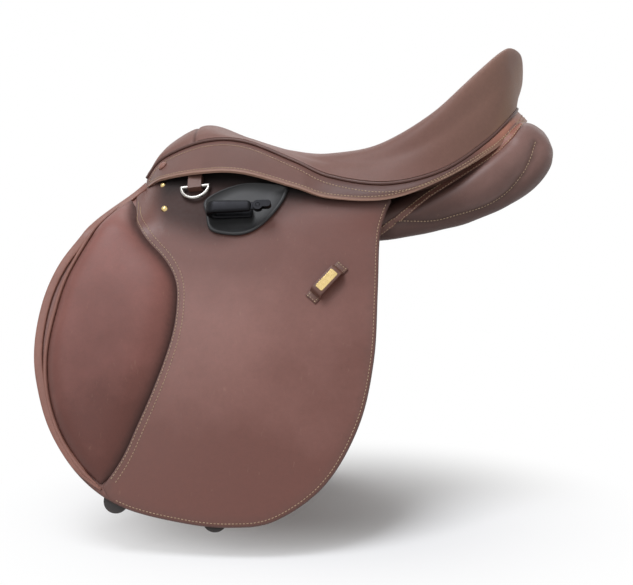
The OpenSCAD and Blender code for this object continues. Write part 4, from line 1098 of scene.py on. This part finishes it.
# Seat foam
# The moulded foam block between the webbing and the seat's leather, cut to the shape that the hide is
# drawn over and carried down to the webs along the middle. Only its underside shows, from below.
FLIP = np.array((1, -1, 1))
SEAT_STEPS = 18
SEAT_ACROSS = 12
SEAT_MIDDLE = 3 * SEAT_ACROSS
SEAM_X = -138
FOAM_UNDER = 3.0
RIM_SHIFT = (-1, 0, 0, 0, 0, 0, -6, -14, -12, 0, 14)
RIM_INSET = (14, 17, 24, 27, 34, 34, 32, 19, 18, 15, 0)
RIM_LIFT = (-2, -6, -7, -6, -3, -1, 4, 16, 25, 14, -3)
RIM = CREST + np.stack([RIM_SHIFT, np.subtract(WELT_Y, RIM_INSET), RIM_LIFT], axis=1)
BASE_SHIFT = (2, 2, 0, 0, 0, 0, 0, -5, -8, -6, -2)
BASE_DROP = (12, 20, 23, 20, 19, 19, 21, 25, 34, 46, 58)
foam, tree, shader = new_material("foam", (74, 64, 56), 0.9)
cells = feed(tree, "ShaderNodeTexVoronoi", {"Vector": spot(tree), "Scale": 700.0}, "Distance")
relief(tree, shader, cells, 0.0005, 0.7)
crest, welt, rim = [spline(line, SEAT_STEPS, tail=line[-2] * FLIP) for line in (CREST, WELT, RIM)]
seat_out = welt - crest
seat_out[:, 2] = 0.01
mid = (welt + rim) / 2 + 5 * unit(seat_out)
seat_grid = np.stack([spline((w, m, r, c, r * FLIP, m * FLIP, w * FLIP), SEAT_ACROSS)
                      for w, m, r, c in zip(welt, mid, rim, crest)])
seat_up = grid_normals(seat_grid)
seat_up *= np.where(seat_up[:, SEAT_MIDDLE, None, 2:] < 0, -1, 1)
past_seam = seat_grid[..., 0] - SEAM_X
sink = 1.6 * bell(past_seam, 2.2) + 0.9 / (1 + np.exp(np.clip(past_seam / 2.5, -40, 40)))
sink += lumps(seat_grid.reshape(-1, 3), 30, 0.35).reshape(sink.shape)
sink[-1] = 0
seat_shape = seat_grid - sink[..., None] * seat_up
base = spline(CREST + np.stack([BASE_SHIFT, np.zeros(11), -np.array(BASE_DROP)], axis=1), SEAT_STEPS)
foam_rings = []
for top, low in zip((seat_shape - FOAM_UNDER * seat_up)[3:-2, 5:-5], base[3:-2]):
    left, right = top[0], top[-1]
    below = spline((right, (right + low) / 2, low, (left + low) / 2, left), 4)
    foam_rings.append(np.vstack([top, below[1:-1]]))
block = add_piece("foam_block", skin(foam_rings), foam)
fitted(block, "saddle", "foam", "seat_foam")

# Seat
# One blocked hide drawn over the foam from welt to welt, with a seam across it behind the pommel. It is
# smooth and full, with painted highlight paling the back of the cantle. A piped welt runs round its edge.
SEAT_THICK = 2.0
SHEET_DEGREES = 50
PIPING_RADIUS = 1.9
seat_leather = leather("seat_leather", (124, 92, 84), (104, 73, 64), (74, 48, 42), 0.5, 1200.0, 0.0001, 8.0,
                       (148, 116, 95), 0.22)
trim_leather = leather("trim_leather", (92, 62, 54), (74, 48, 42), (66, 42, 36), 0.42, 1200.0, 0.0001)


def grid_sheet(name, grid, thick, materials, out, round_to=0.9, **tints):
    """A sheet over a grid of points, thickened to its inner side, with its edges rounded."""
    rows, columns = grid.shape[:2]
    mesh = bpy.data.meshes.new(name)
    starts = [i * columns + j for i in range(rows - 1) for j in range(columns - 1)]
    quads = [(a, a + 1, a + columns + 1, a + columns) for a in starts]
    mesh.from_pydata((grid.reshape(-1, 3) * MM).tolist(), [], quads)
    tinted(mesh, tints)
    work = bmesh.new()
    work.from_mesh(mesh)
    bmesh.ops.remove_doubles(work, verts=work.verts, dist=1e-6)
    bmesh.ops.recalc_face_normals(work, faces=work.faces)
    work.faces.ensure_lookup_table()
    if work.faces[len(work.faces) // 2].normal.dot(Vector(out)) < 0:
        bmesh.ops.reverse_faces(work, faces=work.faces)
    work.to_mesh(mesh)
    work.free()
    made = smooth_object(name, mesh, *materials)
    thicken = made.modifiers.new("thick", "SOLIDIFY")
    thicken.thickness = thick * MM
    thicken.offset = -1
    thicken.material_offset = len(materials) - 1
    return rounded(made, round_to, 3, SHEET_DEGREES)


station = np.arange(len(welt))[:, None] / SEAT_STEPS
column = np.abs(np.arange(seat_grid.shape[1]) - SEAT_MIDDLE)[None] / SEAT_ACROSS
seat_edge = 0.8 * bell(past_seam, 1.6)
# Painted highlight: the seat paler towards the back of the cantle, where the light falls on it.
seat_highlight = 0.25 * np.clip((station - 6.5) / 2, 0, 1)
seat_highlight = seat_highlight + 0.4 * eased((station - 7.9 - 0.8 * np.clip(3 - column, 0, 3)) / 0.7)
seat = grid_sheet("seat_hide", seat_shape, SEAT_THICK, [seat_leather], (0, 0, 1),
                  edge=seat_edge, pale=seat_highlight)
fitted(seat, "saddle", "seat_leather", "seat_cover")
piping_line = welt - np.array((0, 0.6, 2.4))
piping_line[-1, 1] = welt[-1, 1]
piping_line = even(np.vstack([piping_line, piping_line[-2::-1] * FLIP]), 3.0)
piping = add_piece("seat_piping", skin(cord_rings(piping_line, PIPING_RADIUS, 12)), trim_leather)
fitted(piping, "saddle", "trim_leather", "seat_welt")

# Skirts
# Small flaps of hide sewn in with the welt. Each covers its stirrup bar at the front, standing open like
# a mouth, and runs back under the seat as a narrow band to meet its twin behind the cantle.
LIP_X = (-1, 24, 70, 114, 171, 208, 268)
LIP_Z = (40, 48, 54, 53, 37, 25, 23, 42, 74, 103, 120)
LIP_OPEN = (0.1, 0.5, 0.95, 1, 0.5, 0.15, 0)
LIP_GAP = 3
MOUTH_GAP = 15
BAND_SHIFT = (-3, 5, 7, 13)
BAND_OUT = (3, 3, 3, 0)
SKIRT_THICK = 3.5
SKIRT_ROUND = 1.5
SKIRT_ROWS = 14
NAIL_ROW = 5
NAIL_PROFILE = (  # radius, height
    (5.5, -0.5), (5.5, 0.9), (5.1, 1.6), (4.2, 2.3), (2.8, 2.9), (1.2, 3.2), (0.2, 3.25))
skirt_leather = leather("skirt_leather", (108, 75, 67), (84, 54, 47), (154, 120, 104), 0.42, 1100.0, 0.0001,
                        9.0, (172, 116, 96), 0.3)
# The skirt's underside takes a dark grey-green, which is painted shade, the colour of the shadow under its
# lip.
shaded_skirt_underside = leather("shaded_skirt_underside", (58, 56, 50), (46, 44, 40), (40, 38, 34), 0.6)
lip = []
for x, z, wide in zip(np.add(NOSE_X, LIP_X), LIP_Z, LIP_OPEN):
    place = np.array(((x, z),), float)
    stand_off = face_half(*place.T)[0] + 5.0 / face_normal(place)[0, 1]
    lip.append((x, stand_off + LIP_GAP + MOUTH_GAP * wide + SKIRT_THICK, z))
for under, shift, out, z in zip(WELT[7:], BAND_SHIFT, BAND_OUT, LIP_Z[7:]):
    lip.append((under[0] + shift, under[1] + out, z))
lip = np.array(lip)
skirt_top = welt + np.array((0, 0.5, -4.4))
skirt_lip = spline(lip, SEAT_STEPS, tail=lip[-2] * FLIP) + (0, 0.5, 0)
drop = np.linspace(0, 1, SKIRT_ROWS + 1)
skirt_grid = skirt_top[:, None] + drop[None, :, None] * (skirt_lip - skirt_top)[:, None]
skirt_grid[..., 1] += 8 * drop * (1 - drop) * np.clip(10 - station, 0, 1)
skirt_up = -grid_normals(skirt_grid)
skirt_up *= np.where(skirt_up[..., 1:2] < 0, -1, 1)
skirt_wide = np.linalg.norm(skirt_lip - skirt_top, axis=1)
skirt_edge = bell((1 - drop)[None] * skirt_wide[:, None], 3.4)
skirt_at = np.repeat(station, SKIRT_ROWS + 1, axis=1)
# Painted highlight: the band paler and more orange where it wraps round behind the cantle.
skirt_highlight = 0.85 * np.clip(skirt_at - 7.6, 0, 1)
skirt_deep = np.clip(1.2 - np.abs(skirt_at - 6.3) / 1.8, 0, 1)


def skirt_run(share):
    """A run of stitches at a share of the skirt's depth at each station."""
    k = np.clip(share, 0.02, 0.98) * SKIRT_ROWS
    i = k.astype(int)
    f = (k - i)[:, None]
    row = np.arange(len(k))
    at = skirt_grid[row, i] * (1 - f) + skirt_grid[row, i + 1] * f
    return at[4:-3], skirt_up[row, i][4:-3]


runs = [skirt_run(8.0 / skirt_wide), skirt_run(1 - 5.0 / skirt_wide)]
for side, sign in SIDES:
    skirt = grid_sheet("skirt_hide_" + side, skirt_grid * (1, sign, 1), SKIRT_THICK,
                       [skirt_leather, shaded_skirt_underside], (0, sign, 0), SKIRT_ROUND,
                       edge=skirt_edge, pale=skirt_highlight, deep=skirt_deep)
    fitted(skirt, "saddle", "skirt_leather", "skirt_" + side)
    fitted(stitched("skirt_stitches_" + side, runs, sign), "saddle", "skirt_leather")
at, up = skirt_grid[SEAT_STEPS, NAIL_ROW], skirt_up[SEAT_STEPS, NAIL_ROW]
wide = unit(np.cross(up, (0, 0, 1)))
deep = np.cross(up, wide)
c, s = squared(28, 1)
points, faces = skin([at + h * up + r * (c[0] * wide + s[0] * deep) for r, h in NAIL_PROFILE])
pair = joined((points, faces), (points * FLIP, [tuple(reversed(f)) for f in faces]))
fitted(add_piece("skirt_nails", pair, binding_leather), "saddle", "skirt_leather", "skirt_buttons")

# Cantle underlay
# A plain leather lining hangs inside the band from the welt to the panels. It closes the back of the
# seat, and the panels' bound seam is laced against it.
# Its dark leather is partly painted shade: it fills the gap under the band, which lies in shade.
UNDERLAY_THICK = 1.6
UNDERLAY_AT = (6.0, 7.0, 8.0, 9.0, 9.5, 9.8, 10.0)
UNDERLAY_FOOT = np.array((
    (75, 98, 26), (136, 95, 33), (181, 91, 54), (214, 72, 85), (231, 46, 100), (236, 24, 96), (236, 0, 95)))
hung = (skirt_top - np.array((2.0, 0.0, 5.0)))[6 * SEAT_STEPS:]
hung[:, 1] -= np.minimum(7.0, hung[:, 1])
foot = np.stack([np.interp(station[6 * SEAT_STEPS:, 0], UNDERLAY_AT, row) for row in UNDERLAY_FOOT.T], axis=1)
underlay_grid = hung[:, None] + np.linspace(0, 1, 9)[None, :, None] * (foot - hung)[:, None]
for side, sign in SIDES:
    underlay = grid_sheet("cantle_underlay_" + side, underlay_grid * (1, sign, 1), UNDERLAY_THICK,
                          [under_leather], (0, sign, 0))
    fitted(underlay, "saddle", "under_leather")
